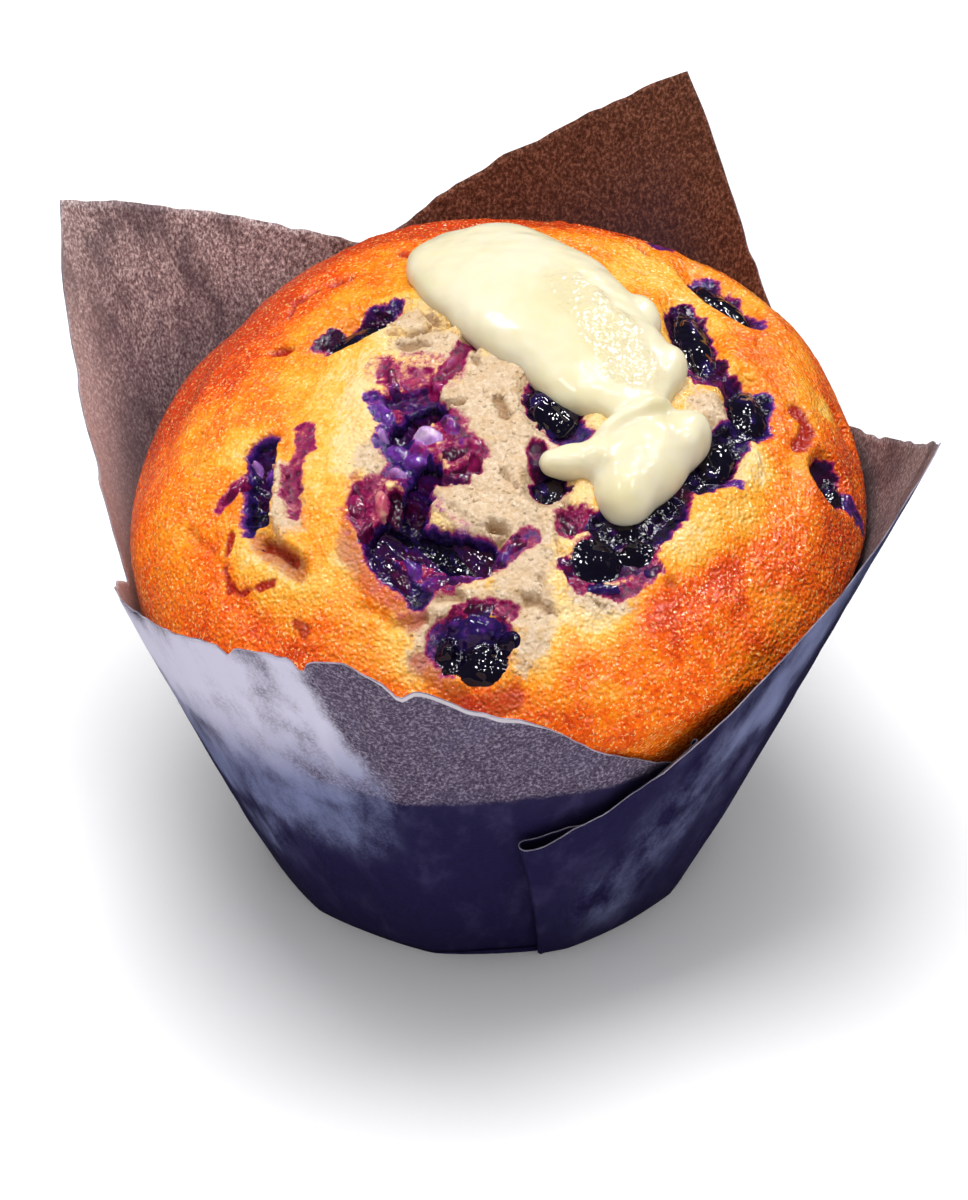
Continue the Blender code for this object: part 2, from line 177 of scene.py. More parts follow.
# Burst berries, as name: lumps of flesh and skin. Each is (x, y, half length, half width, turn,
# height, darkness, violet): darkness runs from 0, pale, to 1, black, and violet from 0, red-magenta,
# to 1, blue-violet.
BURST_BERRIES = {
    "berry_left": (
        (-24.3, -13.2, 2.1, 1.9, 70, -0.6, 1.0, 0.6),
        (-23.5, -6.4, 1.5, 1.0, 90, 0.5, 0.72, 1.0),
        (-23.6, -8.9, 1.8, 1.0, 90, 0.5, 0.46, 1.0),
        (-24.9, -7.4, 1.2, 0.5, 100, 0.7, 0.3, 0.6),
        (-24.6, -10.6, 1.3, 1.0, 60, 0.2, 0.84, 0.9),
        (-27.0, -10.4, 2.2, 0.8, 25, 0.5, 0.56, 0.0),
        (-24.3, -15.4, 1.8, 0.6, 0, 0.2, 0.6, 0.9),
    ),
    "berry_split_top": (
        (-3.6, 0.7, 3.0, 0.9, 54, 0.5, 0.42, 0.05),
        (-9.9, -0.2, 2.5, 0.7, 100, 0.5, 0.5, 0.3),
        (-7.6, -1.2, 2.2, 1.0, 10, 0.1, 0.26, 0.1),
        (-5.2, -2.6, 1.6, 1.3, 60, 0.1, 0.42, 0.1),
        (-10.4, -5.8, 2.3, 0.9, 100, 0.5, 0.4, 0.9),
        (-8.2, -3.4, 2.8, 1.4, 8, -0.3, 0.66, 0.5),
        (-9.6, -2.4, 1.3, 0.9, 80, 0.3, 0.62, 0.5),
    ),
    "berry_split_middle": (
        (-6.2, -9.3, 2.5, 1.3, -35, 1.2, 0.12, 0.8),
        (-10.8, -8.4, 1.3, 0.7, -70, 0.8, 0.2, 0.9),
        (-7.0, -10.9, 1.7, 1.0, -40, 0.8, 0.46, 0.3),
        (-9.3, -10.6, 1.8, 1.2, -40, 0.8, 0.42, 1.0),
        (-7.4, -12.2, 1.6, 1.2, 0, 0.8, 0.4, 0.95),
        (-9.2, -13.8, 1.4, 0.8, -30, 0.8, 0.22, 0.7),
        (-3.6, -8.2, 2.6, 1.1, -65, 0.9, 0.5, 0.5),
        (-1.4, -11.0, 1.9, 1.1, -35, 0.9, 0.5, 0.15),
        (-1.0, -13.2, 1.9, 1.0, -110, 0.8, 0.52, 0.1),
        (-3.2, -14.7, 2.1, 0.9, 5, 0.6, 0.6, 0.3),
        (-3.2, -12.2, 2.0, 1.6, 0, 0.3, 0.62, 0.1),
    ),
    "berry_split_side": (
        (-13.6, -16.8, 2.2, 1.1, 100, 0.5, 0.5, 0.0),
        (-12.6, -19.8, 2.0, 1.0, 68, 0.4, 0.6, 0.0),
        (-10.9, -17.2, 2.3, 0.9, 94, 0.8, 0.12, 0.0),
        (-9.2, -17.4, 2.0, 1.0, 90, -0.4, 0.8, 0.0),
        (-9.4, -20.8, 2.0, 1.3, -10, -0.2, 0.98, 0.7),
        (-11.0, -23.0, 2.4, 1.3, -58, 0.3, 0.76, 0.6),
        (-8.8, -25.6, 2.4, 1.2, -50, 0.3, 0.66, 0.4),
    ),
    "berry_split_low": (
        (-8.5, -22.4, 2.6, 0.8, -72, 0.9, 0.46, 0.95),
        (-7.4, -24.6, 1.6, 1.1, -60, 0.6, 0.5, 0.9),
        (-5.2, -22.4, 2.2, 1.6, 30, 0.0, 1.0, 0.8),
        (-3.0, -24.0, 2.4, 1.6, 0, -0.1, 1.0, 0.8),
        (-5.3, -26.2, 2.3, 1.1, 10, 0.4, 0.5, 0.6),
        (-1.9, -26.0, 2.5, 1.0, 4, 0.5, 0.5, 0.5),
        (1.3, -24.6, 2.1, 1.0, 38, 0.5, 0.52, 0.5),
        (3.6, -22.7, 2.0, 0.9, 40, 0.5, 0.5, 0.4),
    ),
    "berry_front": (
        (-0.4, -33.8, 3.4, 2.4, 0, 1.7, 1.0, 0.9),
        (-3.9, -32.8, 1.8, 2.0, 0, 1.6, 1.0, 0.6),
        (-0.9, -31.2, 3.0, 1.8, 4, 1.7, 0.6, 1.0),
        (-3.2, -30.5, 1.1, 0.9, 40, 0.8, 0.56, 0.7),
        (2.5, -32.2, 1.2, 1.6, 90, 0.8, 0.8, 0.9),
        (-0.5, -29.2, 3.0, 0.8, 0, 0.2, 0.74, 0.0),
    ),
    "berry_wide": (
        (11.9, -24.0, 3.1, 2.7, 0, 1.9, 0.98, 0.8),
        (12.6, -26.8, 2.6, 0.8, 4, 0.5, 0.6, 0.9),
        (16.4, -22.6, 2.7, 2.3, 30, 0.5, 1.0, 0.5),
        (15.4, -20.4, 2.2, 1.4, 20, 0.3, 1.0, 0.6),
        (9.0, -20.4, 2.0, 1.3, -50, 0.4, 0.6, 0.1),
        (8.6, -25.0, 1.6, 1.0, -40, 0.4, 0.56, 0.1),
        (17.9, -24.4, 1.8, 0.9, 20, 0.3, 0.6, 0.3),
    ),
}
LUMP_BLEND = 2.9  # how sharply neighbouring lumps meet: higher is sharper
FLESH_DROP = 0.45  # mm from the crown's surface down to the skin between the lumps
COLOUR_BLEND = 1.9  # how quickly a lump's colour fades away from it
LUMP_WARP = 0.3  # how ragged a lump's outline is
ROUND_LUMP_WARP = 0.1  # and for the round berries, which stand above this lift
ROUND_LUMP_LIFT = 1.5

# Butter: a smear as (x, y, half width, thickness) along its line, then the lobes folded on it, as
# (x, y, half length, half width, turn, height).
SMEAR = (
    (-5.4, 22.8, 3.2, 1.6),
    (-3.6, 20.4, 6.4, 2.8),
    (0.2, 16.8, 8.8, 3.6),
    (4.6, 11.4, 9.4, 4.2),
    (8.8, 5.8, 9.0, 4.2),
    (12.4, 0.8, 8.0, 3.6),
    (15.0, -3.4, 6.6, 2.8),
    (16.4, -6.4, 3.4, 2.0),
)
LOBES = (
    (16.6, -12.2, 6.4, 5.2, 62, 4.2),
    (20.6, -9.2, 4.6, 3.2, 55, 3.7),
    (15.0, -15.8, 4.3, 3.7, 80, 3.6),
    (12.0, -12.9, 2.9, 2.3, 20, 3.2),
    (9.4, -13.2, 3.2, 1.9, 8, 2.3),
    (7.4, -13.4, 1.7, 1.5, 0, 1.9),
    (15.6, -8.4, 5.6, 1.7, 36, 4.8),
    (19.4, 0.4, 3.6, 2.4, 78, 2.8),
    (16.8, 8.6, 3.2, 2.2, 110, 2.8),
)

# Strokes on the crown, as (points along it, half width, depth, juice, violet). A negative depth is a
# raised fold. Juice runs from 0, none, to 1, black; violet as on the burst berries.
STROKES = (
    # the burst cluster: its stained ground, then holes, rims and the channel down to the pool
    (((-8.8, -1.0), (-8.6, -4.6), (-7.4, -9.0), (-6.4, -13.2)), 2.8, 0.4, 0.5, 0.4),
    (((-3.9, -8.0), (-2.4, -12.6)), 2.2, 0.3, 0.5, 0.2),
    (((-12.2, -15.8), (-10.8, -20.2), (-9.4, -24.4)), 2.6, 0.5, 0.54, 0.1),
    (((-7.6, -22.0), (-7.0, -25.2), (-4.0, -25.4)), 2.2, 0.5, 0.54, 0.5),
    (((-9.4, 1.4), (-4.4, 1.0)), 1.8, 0.1, 0.34, 0.1),
    (((-5.6, -6.0), (-7.3, -7.0), (-8.9, -8.2)), 1.9, 3.4, 1.0, 0.7),
    (((-9.4, -3.9), (-6.4, -3.6)), 1.7, 1.6, 0.72, 0.5),
    (((-10.0, 0.6), (-4.6, -0.6)), 3.4, 0.0, 0.3, 0.1),
    (((-13.6, -15.4), (-12.2, -22.0), (-8.0, -27.8)), 2.8, 0.0, 0.23, 0.0),
    (((-10.0, -0.2), (-7.0, -0.8), (-7.3, -2.2)), 2.2, 0.5, 0.5, 0.1),
    (((-5.4, -2.8), (-3.9, -0.5), (-2.1, 3.0)), 1.2, 0.3, 0.62, 0.05),
    (((-10.4, 2.0), (-10.1, -1.9)), 0.8, 0.2, 0.6, 0.3),
    (((-11.9, -2.8), (-10.9, -4.9), (-10.2, -7.0), (-10.8, -9.0)), 1.2, 0.6, 0.62, 0.9),
    (((-4.2, -6.6), (-3.3, -9.1), (-1.5, -11.2), (-0.5, -11.8)), 1.3, 0.4, 0.62, 0.3),
    (((-1.4, -13.8), (-3.0, -14.8), (-5.0, -14.8)), 1.3, 0.9, 0.8, 0.2),
    (((-9.2, -10.0), (-6.6, -13.2)), 2.0, 1.2, 0.8, 0.8),
    (((-5.9, -13.9), (-7.2, -16.1), (-7.7, -18.8)), 1.9, 3.2, 1.0, 0.7),
    (((-9.6, -13.4), (-8.4, -14.8)), 1.2, 0.4, 0.6, 0.6),
    (((-13.3, -14.8), (-13.2, -18.1), (-12.1, -20.2)), 1.2, 0.7, 0.62, 0.0),
    (((-11.9, -21.0), (-11.2, -22.9), (-9.6, -25.2), (-6.8, -27.4)), 1.5, 0.9, 0.86, 0.6),
    (((-9.3, -16.6), (-9.2, -19.6)), 1.0, 1.6, 0.84, 0.0),
    (((-10.6, -20.8), (-6.3, -22.0), (-2.8, -23.6), (-0.4, -24.0)), 2.3, 3.2, 1.0, 0.8),
    (((-5.3, -16.2), (-5.6, -17.8), (-4.1, -18.9), (-1.8, -21.4)), 0.8, -0.5, 0.3, 0.95),
    (((-4.6, -25.9), (-1.5, -25.7), (1.1, -24.7), (2.7, -23.3), (4.6, -21.8)), 1.3, 0.4, 0.6, 0.5),
    (((-3.4, -17.2), (1.0, -20.2)), 1.6, -0.8, 0.0, 0.0),
    # under and round the wide berry and below the butter
    (((8.8, -20.2), (10.8, -19.6)), 2.0, 0.8, 0.6, 0.1),
    (((12.6, -20.4), (16.4, -20.4), (19.8, -16.9)), 2.2, 1.4, 0.97, 0.6),
    (((19.8, -16.9), (21.6, -13.4)), 1.7, 1.0, 0.8, 0.1),
    (((12.2, -23.8), (15.6, -22.6)), 3.2, 1.4, 0.8, 0.4),
    (((8.6, -25.0), (10.0, -26.6), (14.6, -26.8), (18.4, -23.6)), 1.0, 0.3, 0.6, 0.3),
    # left of the butter
    (((6.8, -4.2), (9.0, -9.2)), 2.6, 1.0, 0.75, 0.7),
    (((5.8, -11.4), (5.5, -13.9), (7.6, -15.8)), 1.3, 0.9, 0.78, 0.3),
    # right of the butter
    (((22.1, 14.6), (23.0, 7.8), (24.9, 3.0)), 1.3, 1.0, 0.75, 0.6),
    (((20.6, 3.2), (23.4, 1.2), (28.0, 1.8)), 1.3, 0.4, 0.66, 0.5),
    (((29.6, 0.6), (29.2, -3.0), (26.4, -6.4), (24.8, -9.8), (22.6, -13.2)), 2.1, 1.3, 0.94, 0.7),
    (((23.8, -11.8), (26.9, -12.2)), 1.0, 0.2, 0.6, 0.9),
    (((24.4, 22.4), (29.4, 15.4)), 1.7, 0.8, 0.7, 0.7),
    # the left berry, its side skin, the fold over it and the strip beyond the fold
    (((-23.4, -6.6), (-24.0, -10.0), (-24.4, -14.4)), 2.1, 2.2, 0.92, 0.8),
    (((-28.6, -11.4), (-26.2, -9.8)), 1.0, 0.2, 0.5, 0.0),
    (((-21.7, -7.0), (-21.9, -10.1), (-22.2, -14.7), (-20.7, -18.7), (-19.2, -21.0)), 1.1, -1.4, 0.0, 0.0),
    (((-19.3, -5.6), (-19.3, -8.1), (-20.2, -10.4), (-20.5, -13.3)), 1.3, 0.1, 0.56, 0.0),
    (((-20.5, -13.3), (-20.0, -16.1)), 0.8, 0.1, 0.5, 0.2),
    # the upper left berry under its clear skin
    (((-16.8, 8.2), (-14.8, 9.2), (-12.2, 11.6), (-9.8, 12.6)), 1.2, 0.9, 0.75, 0.6),
    (((-18.6, 8.3), (-16.6, 10.4)), 1.1, -0.5, 0.12, 0.8),
    # the small dark stain at the back rim
    (((13.0, 33.0), (19.4, 28.6)), 1.8, 0.2, 0.66, 0.6),
    # round the front berry
    (((-3.2, -29.6), (-0.6, -29.0), (2.6, -29.6)), 1.0, 0.4, 0.62, 0.0),
    (((-3.6, -32.2), (0.4, -32.4)), 3.0, 1.6, 0.74, 0.6),
    # the berry at the right edge
    (((40.4, -5.6),), 1.4, 0.4, 0.7, 0.7),
)

# Baked juice that has turned to red-brown caramel, as (points, half width, depth, strength).
CARAMEL = (
    (((-27.3, -15.2), (-28.0, -18.4), (-27.4, -21.2)), 0.5, 0.3, 0.95),
    (((-27.6, -20.4), (-26.2, -22.0), (-22.6, -22.6)), 0.6, 0.2, 0.95),
    (((-24.2, -17.4), (-22.4, -19.6), (-20.6, -21.0), (-19.4, -22.4)), 1.5, 0.6, 0.55),
    (((-23.4, -18.0), (-21.4, -19.8), (-19.8, -21.4)), 0.7, 1.9, 0.8),
    (((-22.6, 8.6), (-21.6, 8.2)), 1.0, 0.8, 0.9),
    (((-21.6, 16.0), (-21.0, 18.2), (-18.6, 19.8)), 0.6, 0.6, 0.8),
    (((-17.1, 20.0), (-14.9, 20.7)), 0.5, 0.5, 0.7),
    (((-8.9, 24.2), (-8.1, 23.4)), 0.7, 0.6, 0.8),
    (((34.0, 1.4), (35.3, -0.4), (34.0, -3.8)), 1.0, 0.5, 1.0),
    (((-14.4, -20.8), (-12.0, -25.2), (-7.6, -29.2)), 1.9, 0.0, 0.55),
    (((-13.6, -13.6), (-14.4, -20.0)), 1.0, 0.0, 0.5),
    (((17.2, 26.0), (18.2, 25.0)), 0.6, 0.5, 0.8),
    (((16.4, 20.6), (17.8, 20.0)), 0.4, 0.4, 0.6),
    (((39.6, 7.0), (41.2, 4.6)), 0.7, 0.9, 0.6),
    (((-7.0, -33.4), (-1.0, -37.6), (3.2, -36.6)), 1.3, 0.1, 0.6),
    (((-20.0, -27.0), (-18.6, -28.4)), 0.6, 0.1, 0.7),
)

# Cracks and holes in the torn crumb, as (points, half width, depth). Painted shade darkens the crumb inside them.
CRACKS = (
    (((-4.0, -5.5), (-2.2, -5.3)), 0.55, 1.8),
    (((0.9, -21.0), (2.4, -21.4), (1.6, -22.8)), 0.8, 1.8),
    (((5.8, -26.4), (6.3, -27.0)), 0.75, 1.8),
    (((-5.6, -27.8), (-2.4, -28.0)), 0.8, 0.9),
    (((2.0, -14.6), (3.6, -16.4)), 0.5, 0.8),
    (((1.4, -5.2), (2.6, -7.6)), 0.45, 0.6),
    (((7.4, -22.0), (8.2, -23.4)), 0.5, 0.8),
    (((-8.6, 4.6), (-6.0, 3.8)), 0.5, 0.7),
    (((11.7, -28.2), (12.2, -28.4)), 0.5, 1.0),
    (((19.6, -25.1), (20.4, -25.3)), 0.6, 0.8),
    (((-3.0, 5.4), (-1.2, 4.1), (-0.7, 0.4)), 0.5, 0.9),
    (((-10.2, 7.0), (-6.8, 6.2), (-3.7, 6.6)), 0.6, 1.0),
    (((-10.0, 8.0), (-8.2, 12.8)), 0.7, 0.7),
    (((-8.2, 12.8), (-4.8, 7.4)), 0.8, 0.8),
    (((-12.8, -27.6), (-9.4, -29.8), (-6.4, -29.6)), 0.6, 0.8),
    (((3.6, -27.8), (7.8, -29.6)), 0.5, 0.5),
    (((8.2, -17.6), (9.0, -19.4)), 0.6, 0.9),
    (((-17.2, 13.6), (-13.4, 13.4)), 0.7, 0.4),
    (((29.8, 13.2), (30.6, 9.4)), 0.7, 0.7),
    (((38.6, 8.2), (41.4, 7.2)), 0.8, 1.3),
    (((-32.0, -12.3), (-29.4, -16.4)), 0.8, 0.5),
    (((-30.8, -0.6), (-31.4, -4.8)), 1.3, 0.5),
)

# How the crust is baked away from the plain rule, as (points, half width, change of tone).
BAKE_PATCHES = (
    (((-26.4, -5.4), (-25.4, -4.0)), 2.4, -0.3),
    (((-26.0, -17.2), (-24.2, -20.6), (-20.8, -23.2)), 2.6, -0.36),
    (((-17.4, 2.0), (-15.4, -10.0)), 4.5, -0.24),
    (((-19.0, -26.0), (-14.0, -22.0)), 2.4, -0.24),
    (((25.4, -3.6), (28.0, -8.6)), 3.0, -0.4),
    (((23.0, -17.0), (21.8, -21.0)), 2.8, -0.3),
    (((28.0, -9.6), (31.8, -8.0)), 3.0, -0.16),
    (((33.0, -5.4), (36.0, -6.6)), 2.0, -0.16),
    (((36.8, 4.4), (37.6, 5.4)), 1.2, -0.4),
    (((17.0, -27.6), (21.0, -26.6), (25.0, -24.0)), 3.4, 0.34),
    (((27.0, -22.0), (31.0, -18.6)), 2.8, 0.14),
    (((30.4, -18.4), (36.6, -10.0)), 3.0, 0.1),
    (((10.0, -33.2), (18.4, -30.2)), 2.2, 0.12),
    (((8.2, -29.6), (14.0, -28.6)), 1.6, -0.25),
    (((6.0, -37.0), (14.0, -35.4)), 1.5, -0.14),
    (((-3.4, -35.6), (-7.0, -33.0)), 1.6, -0.2),
    (((17.0, 24.0), (25.0, 12.0)), 3.5, -0.22),
    (((-33.0, 12.0), (-19.0, 30.0), (2.0, 37.0), (16.0, 35.0)), 8.0, 0.6),
    (((36.0, 10.0), (34.0, 20.0)), 3.0, 0.12),
    (((-36.0, -9.0), (-33.0, -18.0)), 4.0, -0.14),
    (((-26.4, 0.6), (-24.0, 12.0)), 4.0, 0.08),
    (((26.6, -12.0), (28.4, -15.4)), 2.8, -0.26),
    (((33.0, -6.0), (36.0, -12.0)), 3.0, 0.1),
    (((-40.0, 12.0), (-38.6, 4.0)), 3.0, -0.1),
)
CRUMB_PATCHES = (
    (((2.6, -3.0), (3.2, -12.0), (3.6, -19.0)), 5.2),
    (((-1.4, -17.4), (3.6, -24.0), (4.4, -28.6)), 3.2),
    (((-7.0, 5.0), (-1.6, 1.8)), 2.0),
    (((-11.9, -11.0), (-11.4, -13.6)), 1.5),
    (((-4.6, -16.2), (-2.0, -18.8)), 2.2),
    (((-3.4, -4.0), (-2.0, -7.4)), 1.8),
    (((6.6, -16.4), (7.2, -19.6)), 2.0),
    (((9.6, -9.4), (8.6, -11.2)), 1.8),
    (((24.8, -3.0),), 2.5),
    (((-1.0, -28.2), (-5.4, -28.4), (-5.8, -32.4)), 1.6),
    (((-21.2, -10.6), (-20.8, -17.4)), 1.1),
    (((-9.6, 9.0), (-7.4, 8.6)), 1.7),
    (((9.4, -27.8), (14.0, -28.0)), 1.0),
    (((5.2, -31.4), (4.4, -33.0)), 1.4),
)

CRUMB_TRIES = 9000  # places tried for crumbs, spread evenly over the burst
CRUMB_REACH = 34 * MM
CRUMB_SIZE = 0.22 * MM
CROWN_CELLS = 292  # along each side of the crown's grid
SIDE_ROWS = 5
CROWN_CENTRE_SHARE = 0.8  # under 1 gathers the grid's cells towards the middle


def stroke_distance(x, y, points):
    """Distance in mm from each (x, y), in metres, to a line through the points, in mm."""
    best = np.full(len(x), np.inf)
    ends = list(zip(points, points[1:])) or [(points[0], points[0])]
    for (ax, ay), (bx, by) in ends:
        run = np.array((bx - ax, by - ay))
        share = ((x / MM - ax) * run[0] + (y / MM - ay) * run[1]) / max(run @ run, 1e-9)
        share = np.clip(share, 0, 1)
        best = np.minimum(best, np.hypot(x / MM - ax - share * run[0], y / MM - ay - share * run[1]))
    return best


def ellipse_distance(x, y, at_x, at_y, length, width, turn):
    """How many of its own sizes each (x, y) lies from the middle of a turned ellipse."""
    angle = math.radians(turn)
    over_x = x / MM - at_x
    over_y = y / MM - at_y
    along = (over_x * math.cos(angle) + over_y * math.sin(angle)) / length
    across = (over_y * math.cos(angle) - over_x * math.sin(angle)) / width
    return np.hypot(along, across)


def berry_middle(name):
    low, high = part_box(name)
    return (Vector(low) + Vector(high)) / 2


def crown_grid():
    """A bmesh of the crown as a flat square grid, with its edge run down to the cake's foot."""
    bm = bmesh.new()
    bmesh.ops.create_grid(bm, x_segments=CROWN_CELLS, y_segments=CROWN_CELLS, size=1)
    level = bm.verts.layers.int.new("side_row")
    edge = [e for e in bm.edges if e.is_boundary]
    for row in range(1, SIDE_ROWS + 1):
        made = bmesh.ops.extrude_edge_only(bm, edges=edge)["geom"]
        edge = [item for item in made if isinstance(item, bmesh.types.BMEdge) and item.is_boundary]
        for vert in {vert for e in edge for vert in e.verts}:
            vert[level] = row
    bmesh.ops.contextual_create(bm, geom=edge)
    return bm


def dome_arc():
    """The crown's profile as (share of its length from the top, angle from the top)."""
    angle = np.linspace(0, math.pi / 2, 400)
    steps = np.hypot(CROWN_RADIUS * np.cos(angle), CROWN_RISE * np.sin(angle))
    length = np.concatenate([[0], np.cumsum((steps[1:] + steps[:-1]) / 2)])
    return length / length[-1], angle


def square_to_disc(across, up):
    """Reach from 0 to 1 and azimuth in radians for points of a square from -1 to 1."""
    wide = np.abs(across) >= np.abs(up)
    long = np.where(wide, across, up)
    short = np.where(wide, up, across)
    ratio = math.pi / 4 * short / np.where(np.abs(long) < 1e-9, 1, long)
    angle = np.where(wide, ratio, math.pi / 2 - ratio)
    return np.abs(long), np.where(long < 0, angle + math.pi, angle)


def drawn_out(x, y, across, along, seed):
    """Noise drawn out in rings round the burst, with features of the two sizes in metres."""
    away = np.hypot(x - BURST_X, y - BURST_Y)
    turn = np.arctan2(y - BURST_Y, x - BURST_X)
    ring = CROWN_RADIUS / 2 / along
    points = np.stack([away / across, ring * np.cos(turn), ring * np.sin(turn)], -1)
    return grain(points, 1.0, seed, 2)


def stroke_inside(away, width, hardness=0.35):
    """1 in the middle of a stroke and 0 outside it, from a distance in the same unit."""
    return 1 - smooth(away, hardness * width, 1.15 * width)


def crown_masks(x, y, place, ragged=1.0):
    """Relief in metres and the masks bake, crumb, juice, violet, caramel and crack_shade at each point; crack_shade
    is where painted shade darkens the cracks.
    """
    warp = ragged * grain(place, 3.2 * MM, 4.0, 3)
    fine = ragged * grain(place, 1.1 * MM, 9.0, 2)
    broad = grain(place, SWELL_SIZE, 3.0)
    patch = grain(place, 7 * MM, 17.0, 3)
    bands = drawn_out(x, y, 4.5 * MM, 12 * MM, 2.0)

    crumb, pale = np.zeros((2, len(x)))
    for points, width in CRUMB_PATCHES:
        away = stroke_distance(x, y, points) + 1.1 * warp
        pale = np.maximum(pale, 1 - smooth(away, width - 1.0, width + 5.5))
        away += 0.5 * fine
        crumb = np.maximum(crumb, 1 - smooth(away, width - 1.4, width + 1.8))

    reach = np.hypot((x / MM - 4.5) / 26, (y / MM + 5) / 31)
    rim = np.hypot((x - CROWN_X) / CROWN_RADIUS, y / CROWN_RADIUS)
    bake = 0.02 + 0.14 * smooth(reach + 0.1 * patch, 0.2, 0.55)
    bake += 0.46 * smooth(reach + 0.1 * patch + 0.05 * warp + 0.06 * bands, 0.55, 1.05)
    bake += 0.2 * smooth(rim + 0.05 * patch, 0.78, 0.97)
    # The -0.2 * bands term is painted light and shade: the raised ridges of the crust are painted paler and the
    # valleys between them darker.
    bake += 0.1 * patch - 0.2 * bands - 0.3 * pale
    for points, width, change in BAKE_PATCHES:
        away = stroke_distance(x, y, points) + 1.2 * warp
        bake += change * (1 - smooth(away, 0.2 * width, 1.4 * width))

    relief = np.zeros(len(x))
    swell = np.array([noise.noise(Vector((a, b, 0)) / SWELL_SIZE + Vector((3, 7, 1))) for a, b in zip(x, y)])
    relief += SWELL_HEIGHT * swell
    burst = np.hypot(x - BURST_X, y - BURST_Y) / BURST_RADIUS
    relief += BURST_HEIGHT * (1 - smooth(burst, 0.6, 1.1))

    juice, violet, hollow, fold, caramel, crack_shade = np.zeros((6, len(x)))
    for points, width, depth, amount, hue in STROKES:
        away = stroke_distance(x, y, points) + 0.5 * warp + 0.4 * fine
        stain = amount * (1 - smooth(away, 0.6 * width, 1.2 * width))
        violet = np.where(stain > juice, hue, violet)
        juice = np.maximum(juice, stain)
        hollow = np.maximum(hollow, max(depth, 0) * stroke_inside(away, width))
        fold = np.maximum(fold, max(-depth, 0) * stroke_inside(away, width))
    for name, (length, width, turn, _) in BERRIES.items():
        middle = berry_middle(name) / MM
        away = ellipse_distance(x, y, middle.x, middle.y, length, width, turn)
        hollow = np.maximum(hollow, 2.2 * np.exp(-((away / 1.1) ** 4)))
        fold = np.maximum(fold, 0.22 * np.exp(-(((away - 1.5) / 0.3) ** 2)))
        stain = 0.86 * (1 - smooth(away + 0.34 * warp + 0.2 * fine, 0.9, 1.17))
        violet = np.where(stain > juice, 0.4, violet)
        juice = np.maximum(juice, stain)

    for points, width, depth, amount in CARAMEL:
        away = stroke_distance(x, y, points) + 0.35 * warp + 0.25 * fine
        caramel = np.maximum(caramel, amount * stroke_inside(away, width))
        hollow = np.maximum(hollow, depth * stroke_inside(away, width))
    for points, width, depth in CRACKS:
        away = stroke_distance(x, y, points) + 0.55 * warp + 0.3 * fine
        inside = stroke_inside(away, width, 0.1)
        hollow = np.maximum(hollow, depth * inside)
        # Painted shade: where a crack's hollow lies, the crumb is marked for darkening.
        crack_shade = np.maximum(crack_shade, smooth(inside, 0.3, 1.0))

    lumps = 0.42 * warp + 0.08 * fine + 0.04 * grain(place, 0.5 * MM, 51.0)
    pores = grain(place, 2.2 * MM, 30.0, 2)
    pits = 0.3 * smooth(pores, 0.35, 0.8)
    skin = 0.05 * grain(place, 0.6 * MM, 12.0) + 0.07 * fine + 0.2 * patch + 0.1 * broad + 0.5 * bands
    dry = 1 - 0.8 * smooth(juice, 0.55, 0.85)
    relief += MM * (mix(skin, lumps - pits, crumb) * dry + fold - hollow)
    masks = {"bake": bake, "crumb": crumb, "juice": juice}
    masks |= {"violet": violet, "caramel": caramel, "crack_shade": crack_shade}
    return relief, masks


def set_mask(mesh, name, values):
    mesh.attributes.new(name, "FLOAT", "POINT").data.foreach_set("value", np.asarray(values, np.float32))


def shape_cake(mesh):
    """Moves the flat grid of crown_grid onto the dome and the cake's side, and sets its masks."""
    count = len(mesh.vertices)
    flat = np.empty(count * 3)
    mesh.vertices.foreach_get("co", flat)
    flat = flat.reshape(-1, 3)
    row = np.empty(count, np.int32)
    mesh.attributes["side_row"].data.foreach_get("value", row)
    share, azimuth = square_to_disc(flat[:, 0], flat[:, 1])
    share = share * mix(CROWN_CENTRE_SHARE, 1, share**2)
    shares, angles = dome_arc()
    angle = np.interp(share, shares, angles)
    degrees = np.degrees(azimuth)
    shrink = 1 - SHOULDER_DEPTH / CROWN_RADIUS * bell(degrees, SHOULDER_AT, SHOULDER_WIDTH)
    reach = CROWN_RADIUS * shrink * np.sin(angle)
    x = CROWN_X + reach * np.cos(azimuth)
    y = reach * np.sin(azimuth)
    z = crown_level(x, y) + CROWN_RISE * np.cos(angle)
    out = np.degrees(np.arctan2(y, x))
    room = room_radius(out, z) / np.maximum(np.hypot(x, y), MM)
    held = np.minimum(1, room)
    x, y = x * held, y * held
    place = np.stack([x, y, z], -1)
    outwards = crown_frame(x, y)[1]
    relief, masks = crown_masks(x, y, place)
    fade = 1 - smooth(share, 0.9, 0.99)
    place += outwards * (relief * mix(0.12, 1, fade))[:, None]

    side = row > 0
    height = mix(z, PAPER + CLEAR, (row / SIDE_ROWS))
    radius = np.minimum(room_radius(out, height), np.hypot(x, y))
    place[side, 0] = (radius * np.cos(np.radians(out)))[side]
    place[side, 1] = (radius * np.sin(np.radians(out)))[side]
    place[side, 2] = height[side]
    mesh.vertices.foreach_set("co", place.reshape(-1))
    masks["bake"] = np.clip(masks["bake"], 0, 1.2)
    for name, values in masks.items():
        set_mask(mesh, name, np.where(side, 0.7 if name == "bake" else 0.0, values))
    mesh.update()


# ---------------------------------------------------------------- making pieces
def new_piece(name, bm, materials, slot, *nodes):
    """A finished piece from a bmesh: it rides on the part's one body and stands for the nodes."""
    mesh = bpy.data.meshes.new(name)
    bm.to_mesh(mesh)
    bm.free()
    mesh.shade_smooth()
    for material in materials:
        mesh.materials.append(material)
    piece = bpy.data.objects.new(name, mesh)
    bpy.context.scene.collection.objects.link(piece)
    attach(piece, "root")
    if nodes:
        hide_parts(*nodes)
    return piece


